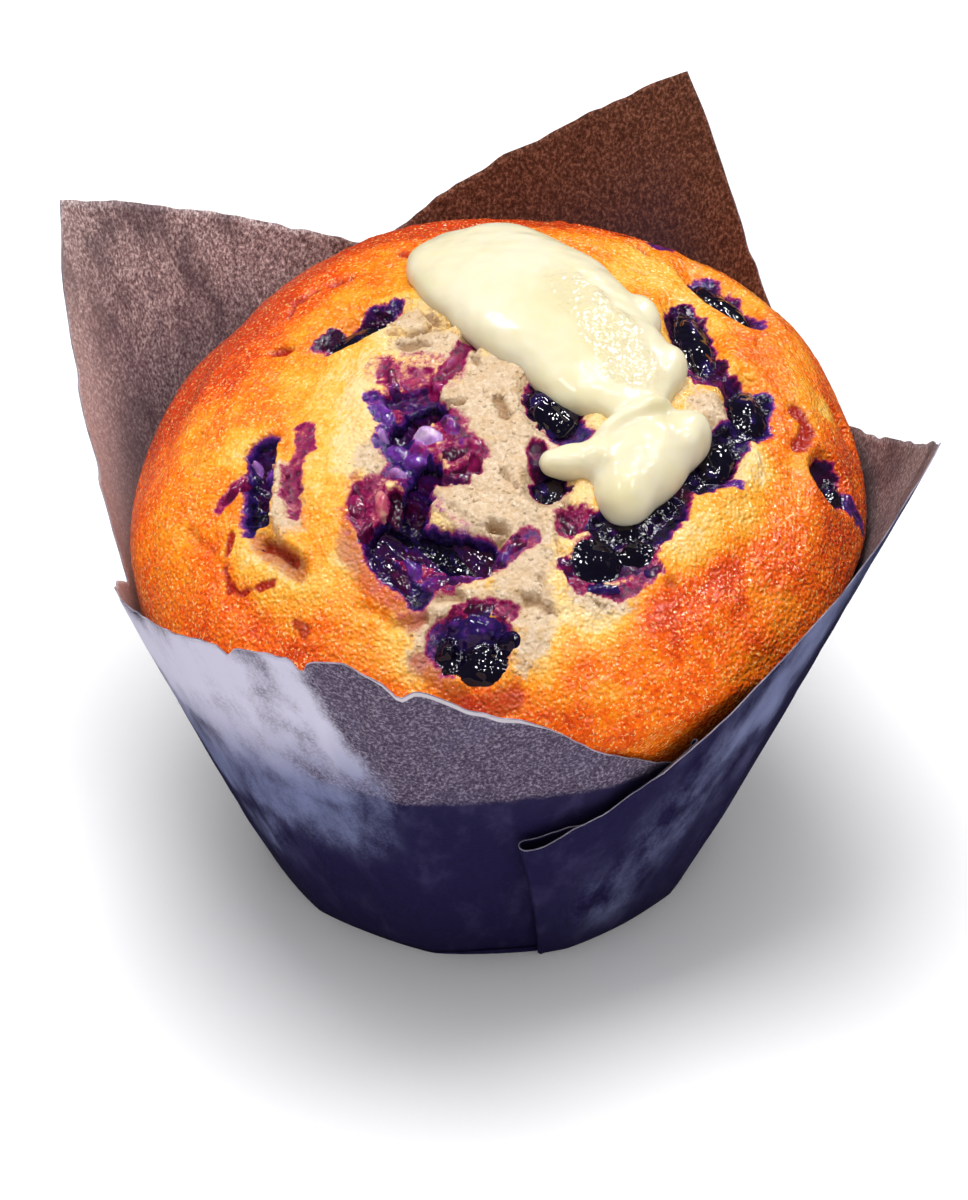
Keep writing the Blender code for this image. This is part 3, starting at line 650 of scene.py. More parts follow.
def apply_modifiers(piece):
    depsgraph = bpy.context.evaluated_depsgraph_get()
    mesh = bpy.data.meshes.new_from_object(piece.evaluated_get(depsgraph))
    old = piece.data
    piece.modifiers.clear()
    piece.data = mesh
    mesh.name = old.name
    bpy.data.meshes.remove(old)


def surface_matrix(x, y, turn, lift, relief=0.0):
    """Matrix that sets a small shape on the crown at (x, y) in mm, its length along the surface."""
    height, outwards = crown_frame(x * MM, y * MM)
    outwards = Vector(outwards)
    length = Vector((math.cos(math.radians(turn)), math.sin(math.radians(turn)), 0))
    length = (length - outwards * length.dot(outwards)).normalized()
    turned = Matrix((length, outwards.cross(length), outwards)).transposed().to_4x4()
    middle = Vector((x * MM, y * MM, height)) + outwards * (lift * MM + relief)
    return Matrix.Translation(middle) @ turned


def make_cake(material):
    cake = new_piece("cake", crown_grid(), [material], "crust", "muffin")
    shape_cake(cake.data)
    return cake


def make_crumbs(material):
    """Small crumbs left standing all over the torn places, joined in one piece."""
    golden = math.pi * (3 - math.sqrt(5))
    index = np.arange(CRUMB_TRIES)
    reach = CRUMB_REACH * np.sqrt(index / CRUMB_TRIES)
    x = BURST_X + reach * np.cos(index * golden)
    y = BURST_Y + reach * np.sin(index * golden)
    height, outwards = crown_frame(x, y)
    place = np.stack([x, y, height], -1)
    relief, masks = crown_masks(x, y, place)
    chance = grain(place, 0.3 * MM, 71.0)
    kept = (masks["crumb"] > 0.3) & (chance > 0.12) & (masks["juice"] < 0.6)
    bm = bmesh.new()
    layers = {name: bm.verts.layers.float.new(name) for name in masks}
    for k in np.flatnonzero(kept):
        size = CRUMB_SIZE * (1 + 0.9 * float(chance[k])) * (0.7 + 0.6 * ((k * 7) % 11) / 10)
        middle = Vector(place[k] + outwards[k] * (relief[k] - 0.5 * size))
        made = bmesh.ops.create_icosphere(bm, subdivisions=1, radius=size)["verts"]
        for vert in made:
            vert.co *= 1 + 0.9 * noise.noise(vert.co / size * 1.3 + Vector((k, 0, 0)))
            vert.co += middle
            for name, layer in layers.items():
                vert[layer] = masks[name][k]
    return new_piece("loose_crumbs", bm, [material], "crust")


def wrinkle(direction, seed, folds):
    """How far in a berry's skin lies there, from 0 to 1: a net of creases with soft dents."""
    shift = Vector((seed, seed * 2.1, seed * 0.6))
    bend = noise.noise_vector(direction * 1.6 + shift) * 0.45
    crease = abs(noise.noise((direction + bend) * folds + shift))
    small = abs(noise.noise((direction + bend * 0.5) * folds * 2.3 - shift))
    dent = noise.noise(direction * 1.3 - shift) * 0.5 + 0.5
    return 0.3 * math.exp(-((crease / 0.34) ** 2)) + 0.03 * math.exp(-((small / 0.3) ** 2)) + 0.8 * dent


def make_berry(name, material):
    """A whole baked berry: a ball shrunk into wrinkles, set in the crown."""
    length, width, turn, seed = BERRIES[name]
    middle = berry_middle(name)
    bm = bmesh.new()
    bmesh.ops.create_icosphere(bm, subdivisions=6, radius=1)
    dark = bm.verts.layers.float.new("juice")
    violet = bm.verts.layers.float.new("violet")
    turned = surface_matrix(middle.x / MM, middle.y / MM, turn, 0).to_3x3()
    middle -= turned @ Vector((0, 0, BERRY_SINK))
    size = Matrix.Diagonal((length * MM, width * MM, width * BERRY_DEPTH * MM, 1))
    for vert in bm.verts:
        sunk = wrinkle(vert.co, seed, 1.7)
        bloom = max(0.0, noise.noise(vert.co * 1.5 + Vector((seed, 0, 0))))
        # The 0.1 * sunk term is painted shade: the skin is darker where it sinks into creases and dents.
        vert[dark] = 1.04 + 0.1 * sunk - 0.5 * bloom
        vert[violet] = 0.9
        vert.co *= 1.06 - 0.16 * sunk
    bmesh.ops.transform(bm, matrix=Matrix.Translation(middle) @ turned.to_4x4() @ size, verts=bm.verts)
    return new_piece(name.replace("berry_", "baked_berry_"), bm, [material], "berry", name)


def make_burst_berry(name, material):
    """A burst berry: a finely torn skin of flesh that rises from the crown and dips into it all round."""
    lumps = BURST_BERRIES[name]
    low = np.array([min(lump[k] - lump[2] for lump in lumps) for k in (0, 1)]) - FLESH_MARGIN
    high = np.array([max(lump[k] + lump[2] for lump in lumps) for k in (0, 1)]) + FLESH_MARGIN
    cells = ((high - low) / FLESH_CELL).astype(int)
    bm = bmesh.new()
    bmesh.ops.create_grid(bm, x_segments=int(cells[0]), y_segments=int(cells[1]), size=0.5)
    level = bm.verts.layers.int.new("side_row")
    made = bmesh.ops.extrude_edge_only(bm, edges=[e for e in bm.edges if e.is_boundary])["geom"]
    for item in made:
        if isinstance(item, bmesh.types.BMVert):
            item[level] = 1
    rim = [item for item in made if isinstance(item, bmesh.types.BMEdge) and item.is_boundary]
    bmesh.ops.contextual_create(bm, geom=rim)
    piece = new_piece(name.replace("berry_", "baked_berry_"), bm, [material], "berry", name)
    mesh = piece.data
    flat = np.empty(len(mesh.vertices) * 3)
    mesh.vertices.foreach_get("co", flat)
    flat = flat.reshape(-1, 3)
    row = np.empty(len(mesh.vertices), np.int32)
    mesh.attributes["side_row"].data.foreach_get("value", row)
    x, y = (flat[:, :2] + 0.5).T * (high - low)[:, None] * MM + low[:, None] * MM
    height, outwards = crown_frame(x, y)
    place = np.stack([x, y, height], -1)
    ground = crown_masks(x, y, place)[0] / MM
    softer = crown_masks(x, y, place, 0.2)[0] / MM
    rough = grain(place, 2.3 * MM, 11.0, 2)
    small = grain(place, 0.6 * MM, 23.0)

    folds = 1 - 2 * np.abs(grain(place, 1.5 * MM, 37.0, 2))

    total = np.full(len(x), math.exp(-LUMP_BLEND * FLESH_DROP))
    tints = np.full(len(x), 0.04)
    dark, violet = 0.75 * tints, 0.4 * tints
    for at_x, at_y, length, width, turn, lift, darkness, hue in lumps:
        bent = ROUND_LUMP_WARP if lift > ROUND_LUMP_LIFT or darkness > 0.9 else LUMP_WARP
        away = ellipse_distance(x, y, at_x, at_y, length, width, turn) + bent * rough
        risen = (0.8 * lift + 1.0) * (1 - smooth(away, 0.1, 1.4)) - 1.0
        total += np.exp(LUMP_BLEND * risen) - math.exp(-LUMP_BLEND)
        tint = np.exp(-COLOUR_BLEND * away**2) * (1 + lift)
        tints += tint
        dark += tint * darkness
        violet += tint * hue
    dark, violet, rise = dark / tints, violet / tints, np.log(total) / LUMP_BLEND
    black = smooth(dark, 0.7, 0.9)
    torn = smooth(rise, -0.9, 0.0) * (1 - smooth(rise, 1.0, 1.6)) * (1 - 0.85 * black)
    relief = rise + torn * (0.34 * rough + 0.14 * folds)
    ground = mix(ground, softer, smooth(rise, -0.4, 0.5))
    # Painted shade: the flesh is darkened where it lies low and in the creases between its folds.
    dark += 0.12 * smooth(0.5 * rise - folds - 0.6 * rough, 0.5, -0.5) * (1 - black) + 0.1 * black
    dark -= (0.04 * small + 0.18 * rough) * (1 - 0.6 * black)
    place += outwards * ((ground + relief - 1.5 * row) * MM)[:, None]
    mesh.vertices.foreach_set("co", place.reshape(-1))
    set_mask(mesh, "juice", np.clip(dark, 0, 1.3))
    set_mask(mesh, "violet", np.clip(violet + 0.3 * rough, 0, 1))
    mesh.update()
    return piece


SMEAR_RINGS = 60
SMEAR_SIDES = 48
SMEAR_FULLNESS = 0.72
SMEAR_SINK = 1.6 * MM
BUTTER_VOXEL = 0.34 * MM
WET_BUTTER = ((9.0, 8.4), (11.8, 3.6), (15.4, -1.6))  # where it glistens, in mm


def smear_at(share):
    """x, y, half width and thickness of the smear, smoothly along its line."""
    place = share * (len(SMEAR) - 1)
    index = min(int(place), len(SMEAR) - 2)
    four = [Vector(SMEAR[min(max(index + k, 0), len(SMEAR) - 1)]) for k in (-1, 0, 1, 2)]
    t = place - index
    before, start, end, after = four
    return 0.5 * (
        2 * start
        + (end - before) * t
        + (2 * before - 5 * start + 4 * end - after) * t**2
        + (3 * start - before - 3 * end + after) * t**3
    )


def make_butter(material):
    """The smear: a full ridge and its folded lobes, run together into one soft skin."""
    bm = bmesh.new()
    bmesh.ops.create_grid(bm, x_segments=SMEAR_SIDES, y_segments=SMEAR_RINGS, size=0.5)
    for vert in bm.verts:
        share = vert.co.y + 0.5
        angle = 2 * math.pi * (vert.co.x + 0.5)
        x, y, half_width, thickness = smear_at(share)
        ahead = smear_at(min(share + 0.01, 1.0)) - smear_at(max(share - 0.01, 0.0))
        height, outwards = crown_frame(x * MM, y * MM)
        outwards = Vector(outwards)
        across = outwards.cross(Vector((ahead.x, ahead.y, 0))).normalized()
        side = math.copysign(abs(math.cos(angle)) ** SMEAR_FULLNESS, math.cos(angle))
        high = math.copysign(abs(math.sin(angle)) ** SMEAR_FULLNESS, math.sin(angle))
        edge = 1 + 0.07 * noise.noise(Vector((share * 7, math.copysign(2, side), 4)))
        over = across * side * edge * half_width * MM
        foot = Vector((x * MM + over.x, y * MM + over.y, 0))
        foot.z = crown_frame(foot.x, foot.y)[0] + 0.6 * MM
        vert.co = foot + outwards * high * (thickness * MM if high > 0 else SMEAR_SINK)
    bmesh.ops.remove_doubles(bm, verts=bm.verts, dist=0.002 * MM)
    bmesh.ops.holes_fill(bm, edges=[e for e in bm.edges if e.is_boundary])
    for x, y, length, width, turn, height in LOBES:
        made = bmesh.ops.create_icosphere(bm, subdivisions=4, radius=1)["verts"]
        size = Matrix.Diagonal((length * MM, width * MM, height * MM, 1))
        bmesh.ops.transform(bm, matrix=surface_matrix(x, y, turn, 0.6) @ size, verts=made)
    bmesh.ops.recalc_face_normals(bm, faces=bm.faces)
    butter = new_piece("butter_smear", bm, [material], "butter", "butter")
    skin = butter.modifiers.new("skin", "REMESH")
    skin.mode = "VOXEL"
    skin.voxel_size = BUTTER_VOXEL
    relax = butter.modifiers.new("relax", "SMOOTH")
    relax.factor = 0.5
    relax.iterations = 14
    apply_modifiers(butter)
    count = len(butter.data.vertices)
    place = np.empty(count * 3)
    normal = np.empty(count * 3)
    butter.data.vertices.foreach_get("co", place)
    butter.data.vertices.foreach_get("normal", normal)
    place, normal = place.reshape(-1, 3), normal.reshape(-1, 3)
    waves = 0.26 * grain(place, 5.5 * MM, 21.0) + 0.1 * grain(place, 2.2 * MM, 33.0)
    place += normal * (waves * MM)[:, None]
    butter.data.vertices.foreach_set("co", place.reshape(-1))
    butter.data.shade_smooth()
    away = stroke_distance(place[:, 0], place[:, 1], WET_BUTTER) + 1.5 * grain(place, 2.5 * MM, 61.0)
    set_mask(butter.data, "wet", 1 - smooth(away, 1.5, 4.5))
    return butter


# ---------------------------------------------------------------- the paper case
WALL_ROWS = 62
COLUMN_STEP = 0.75
PLEAT_COLUMNS = 30
FOLD_COLUMNS = 12
BEHIND_DROP = 2.2 * MM  # how much lower the pleat's hidden layers end
BEHIND_FROM = (279, 288)
# Pale bloom on the outside, as (points of azimuth and height in mm, half width in mm, strength).
BLOOM = (
    (((206, 40), (216, 40), (226, 46), (232, 51)), 6.0, 1.3),
    (((206, 30), (214, 24), (224, 30)), 6.0, 0.8),
    (((212, 34), (224, 37), (236, 41), (246, 38)), 4.6, 0.95),
    (((298, 10), (312, 30), (322, 54)), 8.0, 0.26),
    (((243.5, 57), (245, 50), (247, 43), (249.5, 38)), 2.6, 1.3),
    (((241, 40), (247, 36), (250, 33)), 5.0, 0.7),
    (((226, 42), (236, 45), (243, 46)), 5.0, 0.95),
    (((226, 33), (236, 33.6), (243, 32)), 4.4, 0.9),
    (((216, 30), (222, 28), (234, 25), (244, 26)), 6.0, 0.7),
    (((216, 12), (226, 18)), 4.0, 0.4),
    (((324, 60), (321, 48), (317, 36)), 4.6, 0.9),
    (((303, 17), (301, 23)), 2.0, 0.34),
    (((306, 27), (312, 36)), 3.0, 0.44),
    (((335, 60), (338, 40)), 2.5, 0.4),
    (((100, 44), (104, 20)), 4.0, 0.5),
    (((160, 56), (156, 30)), 4.0, 0.5),
    (((40, 40), (46, 22)), 4.0, 0.4),
)
DEGREE = 0.68  # mm along the wall for each degree, about halfway up
# Small tears in the top edge, as (azimuth, depth in mm, width in degrees).
TEARS = ((234.4, 1.5, 1.1), (246.6, 2.4, 0.9), (259.4, 1.9, 1.3), (172, 1.6, 2.2), (165.5, 1.2, 1.5))


def edge_height(azimuth):
    """Height of the paper's top edge, with its corners, small waves and tears."""
    height = DIPS[0][1]
    for (low_at, low), (at, top, down, up), (high_at, high) in zip(DIPS, CORNERS, DIPS[1:]):
        if low_at <= azimuth <= at:
            height = mix(low, top, ((azimuth - low_at) / (at - low_at)) ** down)
        elif at < azimuth <= high_at:
            height = mix(high, top, ((high_at - azimuth) / (high_at - at)) ** up)
    near_tip = max(float(bell(azimuth, at, 5)) for at, *_ in CORNERS)
    wave = 0.7 * noise.noise(Vector((azimuth / 7, 3, 0))) + 0.35 * noise.noise(Vector((azimuth / 2.4, 8, 0)))
    tear = sum(depth * float(bell(azimuth, at, width)) for at, depth, width in TEARS)
    return height + (wave * (1 - near_tip) - abs(wave) * near_tip * 0.3 - tear - 0.2) * MM


def outer_offset(azimuth, share):
    lifted = smooth(-azimuth, -PLEAT_OUT, -PLEAT_BACK)
    along = min(max((azimuth - FOLD_TOP) / (PLEAT_OUT - FOLD_TOP), 0.0), 1.0)
    pocket = POCKET * share * math.sin(math.pi * along)
    loop = 2 * mix(FOLD_LOOP_FOOT, FOLD_LOOP_TOP, share) * (1 - LYING_FLAT * smooth(along, 0.0, 0.35))
    return lifted * (loop + pocket)


def strip_path(share):
    """One level of the closed strip as (azimuth, offset, whether behind), from the hidden fold round."""
    fold = mix(FOLD_FOOT, FOLD_TOP, share)
    loop = mix(FOLD_LOOP_FOOT, FOLD_LOOP_TOP, share)
    degrees = math.degrees(1 / (BASE_RADIUS + WALL_FLARE * share * DIPS[0][1]))
    path = []
    for azimuth in np.arange(PLEAT_BACK + 360, PLEAT_BACK, -COLUMN_STEP):
        under_pleat = azimuth > 180
        offset = inner_offset(azimuth) if under_pleat else outer_offset(azimuth, share)
        path.append((azimuth, offset, under_pleat))
    for step in range(PLEAT_COLUMNS):
        azimuth = mix(PLEAT_BACK, fold, step / PLEAT_COLUMNS)
        path.append((azimuth, outer_offset(azimuth, share), False))
    for step in range(FOLD_COLUMNS + 1):
        angle = math.pi * step / FOLD_COLUMNS
        path.append((fold - loop * math.sin(angle) * degrees, loop + loop * math.cos(angle), False))
    for step in range(1, PLEAT_COLUMNS):
        path.append((mix(fold, PLEAT_BACK, step / PLEAT_COLUMNS), 0.0, True))
    for step in range(FOLD_COLUMNS):
        angle = math.pi * step / FOLD_COLUMNS
        turn = LAYER / 2
        path.append((PLEAT_BACK + turn * math.sin(angle) * degrees, turn * math.cos(angle) - turn, True))
    return path


def crinkle(azimuth, height, share):
    """How far the paper is pushed in or out by its creases, which run up and down."""
    turn = math.radians(azimuth)
    ring = Vector((math.cos(turn), math.sin(turn), 0))
    broad = noise.noise(ring * 3.2 + Vector((0, 0, height / (40 * MM))))
    crease = abs(noise.noise(ring * 7.5 + Vector((5, 2, height / (55 * MM)))))
    fine = noise.noise(ring * 15 + Vector((9, 4, height / (12 * MM))))
    free = mix(0.25, 1.0, float(smooth(share, 0.45, 1.0)))
    return (0.5 * broad * free + 0.28 * math.exp(-((crease / 0.1) ** 2)) * mix(1.0, 0.4, share) + 0.12 * fine * free) * MM


def make_wall(materials):
    """The folded strip of paper, as a closed band of its own thickness."""
    columns = len(strip_path(0))
    bm = bmesh.new()
    bmesh.ops.create_grid(bm, x_segments=columns, y_segments=WALL_ROWS, size=0.5)
    dry = bm.verts.layers.float.new("dry")
    turn_layer = bm.verts.layers.float.new("turn")
    rise = bm.verts.layers.float.new("rise")
    paths = {row: strip_path(row / WALL_ROWS) for row in range(WALL_ROWS + 1)}
    for vert in bm.verts:
        row = round((vert.co.y + 0.5) * WALL_ROWS)
        column = round((vert.co.x + 0.5) * columns) % columns
        azimuth, offset, behind = paths[row][column]
        azimuth = float(azimuth)
        share = row / WALL_ROWS
        top = edge_height(azimuth)
        if behind:
            top -= BEHIND_DROP * float(smooth(azimuth % 360, *BEHIND_FROM))
        height = mix(PAPER / 2, top, share)
        curl = CORNER_CURL * share**4 * sum(float(bell(azimuth, at, CORNER_CURL_WIDTH)) for at, *_ in CORNERS)
        radius = float(wall_radius(azimuth, height)) + offset + curl
        radius += crinkle(azimuth, height, share) * float(smooth(share, 0.0, 0.2))
        angle = math.radians(azimuth)
        vert.co = (radius * math.cos(angle), radius * math.sin(angle), height)
        contact = crown_level(CROWN_RADIUS * math.cos(angle), CROWN_RADIUS * math.sin(angle)) - 3.5 * MM
        soaked_flap = 0.9 * float(smooth(-azimuth, 5, 36))
        vert[dry] = float(smooth(height, contact - 3 * MM, contact + 2 * MM)) * (1 - soaked_flap)
        vert[turn_layer] = azimuth
        vert[rise] = share
    bmesh.ops.remove_doubles(bm, verts=bm.verts, dist=0.001 * MM)
    bmesh.ops.recalc_face_normals(bm, faces=bm.faces)
    turns = [vert[turn_layer] for vert in bm.verts]
    heights = [vert.co.z for vert in bm.verts]
    wall = new_piece("paper_wall", bm, materials, "paper", "paper_case")
    thicken = wall.modifiers.new("thickness", "SOLIDIFY")
    thicken.thickness = PAPER
    thicken.offset = 0.0
    thicken.material_offset = 1
    thicken.material_offset_rim = 2
    place = np.array([(t % 360 * DEGREE * MM, h) for t, h in zip(turns, heights)])
    bloom = np.zeros(len(place))
    warp = grain(np.pad(place, ((0, 0), (0, 1))), 7 * MM, 5.0, 3)
    for points, width, strength in BLOOM:
        points = [(azimuth * DEGREE, height) for azimuth, height in points]
        away = stroke_distance(place[:, 0], place[:, 1], points) + 1.3 * warp
        bloom = np.maximum(bloom, strength * (1 - smooth(away, 0.1 * width, 1.6 * width)))
    set_mask(wall.data, "bloom", bloom)
    return wall


def make_foot(material):
    """The flat paper base, a thin disc that the wall's foot stands round."""
    bm = bmesh.new()
    bmesh.ops.create_circle(bm, cap_ends=True, segments=180, radius=1)
    for vert in bm.verts:
        azimuth = math.degrees(math.atan2(vert.co.y, vert.co.x))
        radius = float(wall_radius(azimuth, 0)) + PAPER / 3
        vert.co = vert.co.normalized() * radius
    made = bmesh.ops.extrude_face_region(bm, geom=bm.faces[:])["geom"]
    lifted = [item for item in made if isinstance(item, bmesh.types.BMVert)]
    bmesh.ops.translate(bm, verts=lifted, vec=(0, 0, PAPER))
    bmesh.ops.recalc_face_normals(bm, faces=bm.faces)
    return new_piece("paper_foot", bm, [material], "paper", "paper_case")


# ---------------------------------------------------------------- shader building
class Nodes:
    """Short calls for building one node tree."""

    def __init__(self, tree):
        self.tree = tree

    def add(self, kind, **settings):
        node = self.tree.nodes.new("ShaderNode" + kind)
        for name, value in settings.items():
            setattr(node, name, value)
        return node

    def feed(self, node, **inputs):
        """Sets or links inputs by name, with underscores for spaces."""
        for name, value in inputs.items():
            socket = node.inputs[name.replace("_", " ")]
            if isinstance(value, bpy.types.NodeSocket):
                self.tree.links.new(value, socket)
            else:
                socket.default_value = value
        return node

    def coordinates(self):
        return self.add("TexCoord").outputs["Object"]

    def stretched(self, scale):
        node = self.feed(self.add("Mapping"), Vector=self.coordinates())
        node.inputs["Scale"].default_value = scale
        return node.outputs["Vector"]

    def noise(self, size, detail=3.0, roughness=0.55, vector=None, distortion=0.0):
        """Noise from 0 to 1 with features of about size metres."""
        node = self.feed(
            self.add("TexNoise"),
            Vector=vector or self.coordinates(),
            Scale=1 / size,
            Detail=detail,
            Roughness=roughness,
            Distortion=distortion,
        )
        return node.outputs["Fac"]

    def spread(self, value, low, high, to_low=0.0, to_high=1.0):
        node = self.add("MapRange", interpolation_type="SMOOTHSTEP")
        self.feed(node, Value=value, From_Min=low, From_Max=high, To_Min=to_low, To_Max=to_high)
        return node.outputs["Result"]

    def math(self, operation, first, second):
        node = self.add("Math", operation=operation)
        for socket, value in zip(node.inputs, (first, second)):
            if isinstance(value, bpy.types.NodeSocket):
                self.tree.links.new(value, socket)
            else:
                socket.default_value = value
        return node.outputs["Value"]

    def ramp(self, value, *stops):
        """Colour along a ramp of (place, colour) stops."""
        node = self.add("ValToRGB")
        band = node.color_ramp
        while len(band.elements) < len(stops):
            band.elements.new(1.0)
        for element, (place, colour) in zip(band.elements, stops):
            element.position = place
            element.color = colour
        self.tree.links.new(value, node.inputs["Fac"])
        return node.outputs["Color"]

    def blend(self, amount, below, above, kind="MIX"):
        node = self.add("Mix", data_type="RGBA", blend_type=kind)
        for index, value in ((0, amount), (6, below), (7, above)):
            if isinstance(value, bpy.types.NodeSocket):
                self.tree.links.new(value, node.inputs[index])
            else:
                node.inputs[index].default_value = value
        return node.outputs[2]

    def mask(self, name):
        return self.add("Attribute", attribute_name=name).outputs["Fac"]

    def bump(self, height, strength, distance, normal=None):
        node = self.feed(self.add("Bump"), Height=height, Strength=strength, Distance=distance)
        if normal:
            self.tree.links.new(normal, node.inputs["Normal"])
        return node.outputs["Normal"]


def new_material(name):
    material = bpy.data.materials.new(name)
    material.use_nodes = True
    nodes = Nodes(material.node_tree)
    return material, nodes, material.node_tree.nodes["Principled BSDF"]


CRUST_TONES = (
    (0.0, linear(240, 206, 146)),
    (0.2, linear(246, 184, 76)),
    (0.42, linear(252, 160, 36)),
    (0.62, linear(250, 130, 18)),
    (0.82, linear(240, 92, 8)),
    (1.0, linear(206, 60, 6)),
)
# The black end of both juice ramps is tinted blue-violet: partly the skin's own colour and partly a painted sheen.
RED_JUICE_TONES = (
    (0.0, linear(228, 182, 156)),
    (0.28, linear(184, 78, 100)),
    (0.5, linear(150, 20, 84)),
    (0.72, linear(70, 5, 46)),
    (1.0, linear(9, 2, 12)),
)
VIOLET_JUICE_TONES = (
    (0.0, linear(236, 216, 228)),
    (0.28, linear(178, 132, 200)),
    (0.5, linear(108, 48, 150)),
    (0.72, linear(40, 20, 88)),
    (1.0, linear(8, 4, 22)),
)


def juice_colour_group():
    """Colour of berry juice, skin and flesh from how dark and how violet it is."""
    group = bpy.data.node_groups.new("juice_colour", "ShaderNodeTree")
    for name in ("Dark", "Violet"):
        group.interface.new_socket(name=name, in_out="INPUT", socket_type="NodeSocketFloat")
    group.interface.new_socket(name="Color", in_out="OUTPUT", socket_type="NodeSocketColor")
    nodes = Nodes(group)
    given = group.nodes.new("NodeGroupInput").outputs
    drift = nodes.math("MULTIPLY", nodes.math("SUBTRACT", nodes.noise(1.5 * MM, 3, 0.6), 0.5), 0.9)
    hue = nodes.spread(nodes.math("ADD", given["Violet"], drift), 0.15, 0.75)
    red = nodes.ramp(given["Dark"], *RED_JUICE_TONES)
    violet = nodes.ramp(given["Dark"], *VIOLET_JUICE_TONES)
    put = group.nodes.new("NodeGroupOutput")
    group.links.new(nodes.blend(hue, red, violet), put.inputs["Color"])
    return group


def juice_colour(nodes, group, dark, violet):
    node = nodes.tree.nodes.new("ShaderNodeGroup")
    node.node_tree = group
    nodes.feed(node, Dark=dark, Violet=violet)
    return node.outputs["Color"]


def make_cake_material(juice_group):
    """Crust and torn crumb in one skin, with its stains of juice and caramel, painted glints on the crust and painted
    shade in the cracks.
    """
    material, nodes, shader = new_material("baked_cake")
    fleck = nodes.noise(0.5 * MM, 6, 0.72)
    cloud = nodes.noise(2.6 * MM, 4, 0.6)
    speck = nodes.math("MULTIPLY", nodes.math("SUBTRACT", 0.49, fleck), 1.1)
    drift = nodes.math("MULTIPLY", nodes.math("SUBTRACT", cloud, 0.5), 0.6)
    tone = nodes.math("ADD", nodes.math("ADD", nodes.mask("bake"), speck), drift)
    crust = nodes.ramp(tone, *CRUST_TONES)
    mottle = nodes.noise(0.6 * MM, 6, 0.75)
    torn = nodes.ramp(
        mottle,
        (0.28, linear(186, 156, 120)),
        (0.5, linear(210, 182, 149)),
        (0.72, linear(236, 216, 188)),
    )
    torn = nodes.blend(nodes.spread(cloud, 0.5, 0.66, 0.0, 0.5), torn, linear(198, 160, 112))
    # Painted highlights: tiny pale specks blended into the crust's colour stand in for glints.
    painted_glints = nodes.spread(nodes.noise(0.32 * MM, 1, 0.5), 0.6, 0.68, 0.0, 0.66)
    crust = nodes.blend(painted_glints, crust, linear(255, 214, 130))
    frayed = nodes.math("MULTIPLY", nodes.math("SUBTRACT", mottle, 0.5), 1.6)
    crumb = nodes.spread(nodes.math("ADD", nodes.mask("crumb"), frayed), 0.15, 0.85)
    colour = nodes.blend(crumb, crust, torn)
    # Painted shade: the crumb is darkened to brown inside the cracks.
    painted_crack_shade = nodes.math("MULTIPLY", nodes.mask("crack_shade"), nodes.spread(crumb, 0.0, 0.6, 0.15, 0.75))
    colour = nodes.blend(painted_crack_shade, colour, linear(140, 98, 52))
    colour = nodes.blend(nodes.spread(nodes.mask("caramel"), 0.0, 0.9), colour, linear(166, 36, 14))
    ragged = nodes.math("MULTIPLY", nodes.math("SUBTRACT", nodes.noise(0.9 * MM, 5, 0.7), 0.5), 1.0)
    juice = nodes.math("ADD", nodes.mask("juice"), nodes.math("MULTIPLY", ragged, nodes.spread(nodes.mask("juice"), 0.0, 0.3)))
    hue = nodes.math("SUBTRACT", nodes.mask("violet"), nodes.spread(juice, 0.75, 0.3, 0.0, 0.6))
    stained = juice_colour(nodes, juice_group, juice, hue)
    colour = nodes.blend(nodes.spread(juice, 0.16, 0.5), colour, stained)
    nodes.feed(shader, Base_Color=colour)
    wet = nodes.spread(juice, 0.35, 0.6)
    oily = nodes.spread(nodes.noise(1.4 * MM, 3, 0.6), 0.36, 0.52, 0.3, 0.12)
    rough = nodes.math("MAXIMUM", oily, nodes.spread(crumb, 0.2, 0.8, 0.0, 0.24))
    nodes.feed(shader, Roughness=nodes.math("MULTIPLY", rough, nodes.spread(wet, 0.0, 1.0, 1.0, 0.35)))
    shader.inputs["Specular IOR Level"].default_value = 0.4
    shader.inputs["Subsurface Weight"].default_value = 0.05
    shader.inputs["Subsurface Radius"].default_value = (1.0, 0.5, 0.25)
    shader.inputs["Subsurface Scale"].default_value = 1.0 * MM
    beads = nodes.noise(0.4 * MM, 0, 0.5)
    beaded = nodes.math("MULTIPLY", nodes.spread(crumb, 0.2, 0.8, 0.55, 0.3), nodes.spread(juice, 0.4, 0.8, 1.0, 0.2))
    soft = nodes.math("MULTIPLY", nodes.noise(1.6 * MM, 1, 0.5), nodes.spread(juice, 0.4, 0.8, 0.6, 1.0))
    height = nodes.math("ADD", nodes.math("MULTIPLY", beads, beaded), soft)
    height = nodes.math("ADD", height, nodes.math("MULTIPLY", fleck, nodes.spread(crumb, 0.2, 0.8, 0.04, 0.2)))
    nodes.feed(shader, Normal=nodes.bump(height, 1.0, 0.5 * MM))
    return material


def make_berry_material(juice_group):
    material, nodes, shader = new_material("berry_skin_and_flesh")
    fine = nodes.noise(0.8 * MM, 5, 0.65)
    speck = nodes.math("MULTIPLY", nodes.math("SUBTRACT", fine, 0.5), 0.45)
    dark = nodes.math("ADD", nodes.mask("juice"), speck)
    nodes.feed(shader, Base_Color=juice_colour(nodes, juice_group, dark, nodes.mask("violet")))
    shader.inputs["Roughness"].default_value = 0.07
    shader.inputs["Specular IOR Level"].default_value = 0.6
    small = nodes.math("MULTIPLY", nodes.noise(0.8 * MM, 0, 0.5), nodes.spread(nodes.mask("juice"), 0.6, 0.95, 0.3, 0.1))
    height = nodes.math("ADD", small, nodes.noise(1.7 * MM, 1, 0.5))
    nodes.feed(shader, Normal=nodes.bump(height, 0.9, 0.6 * MM))
    return material


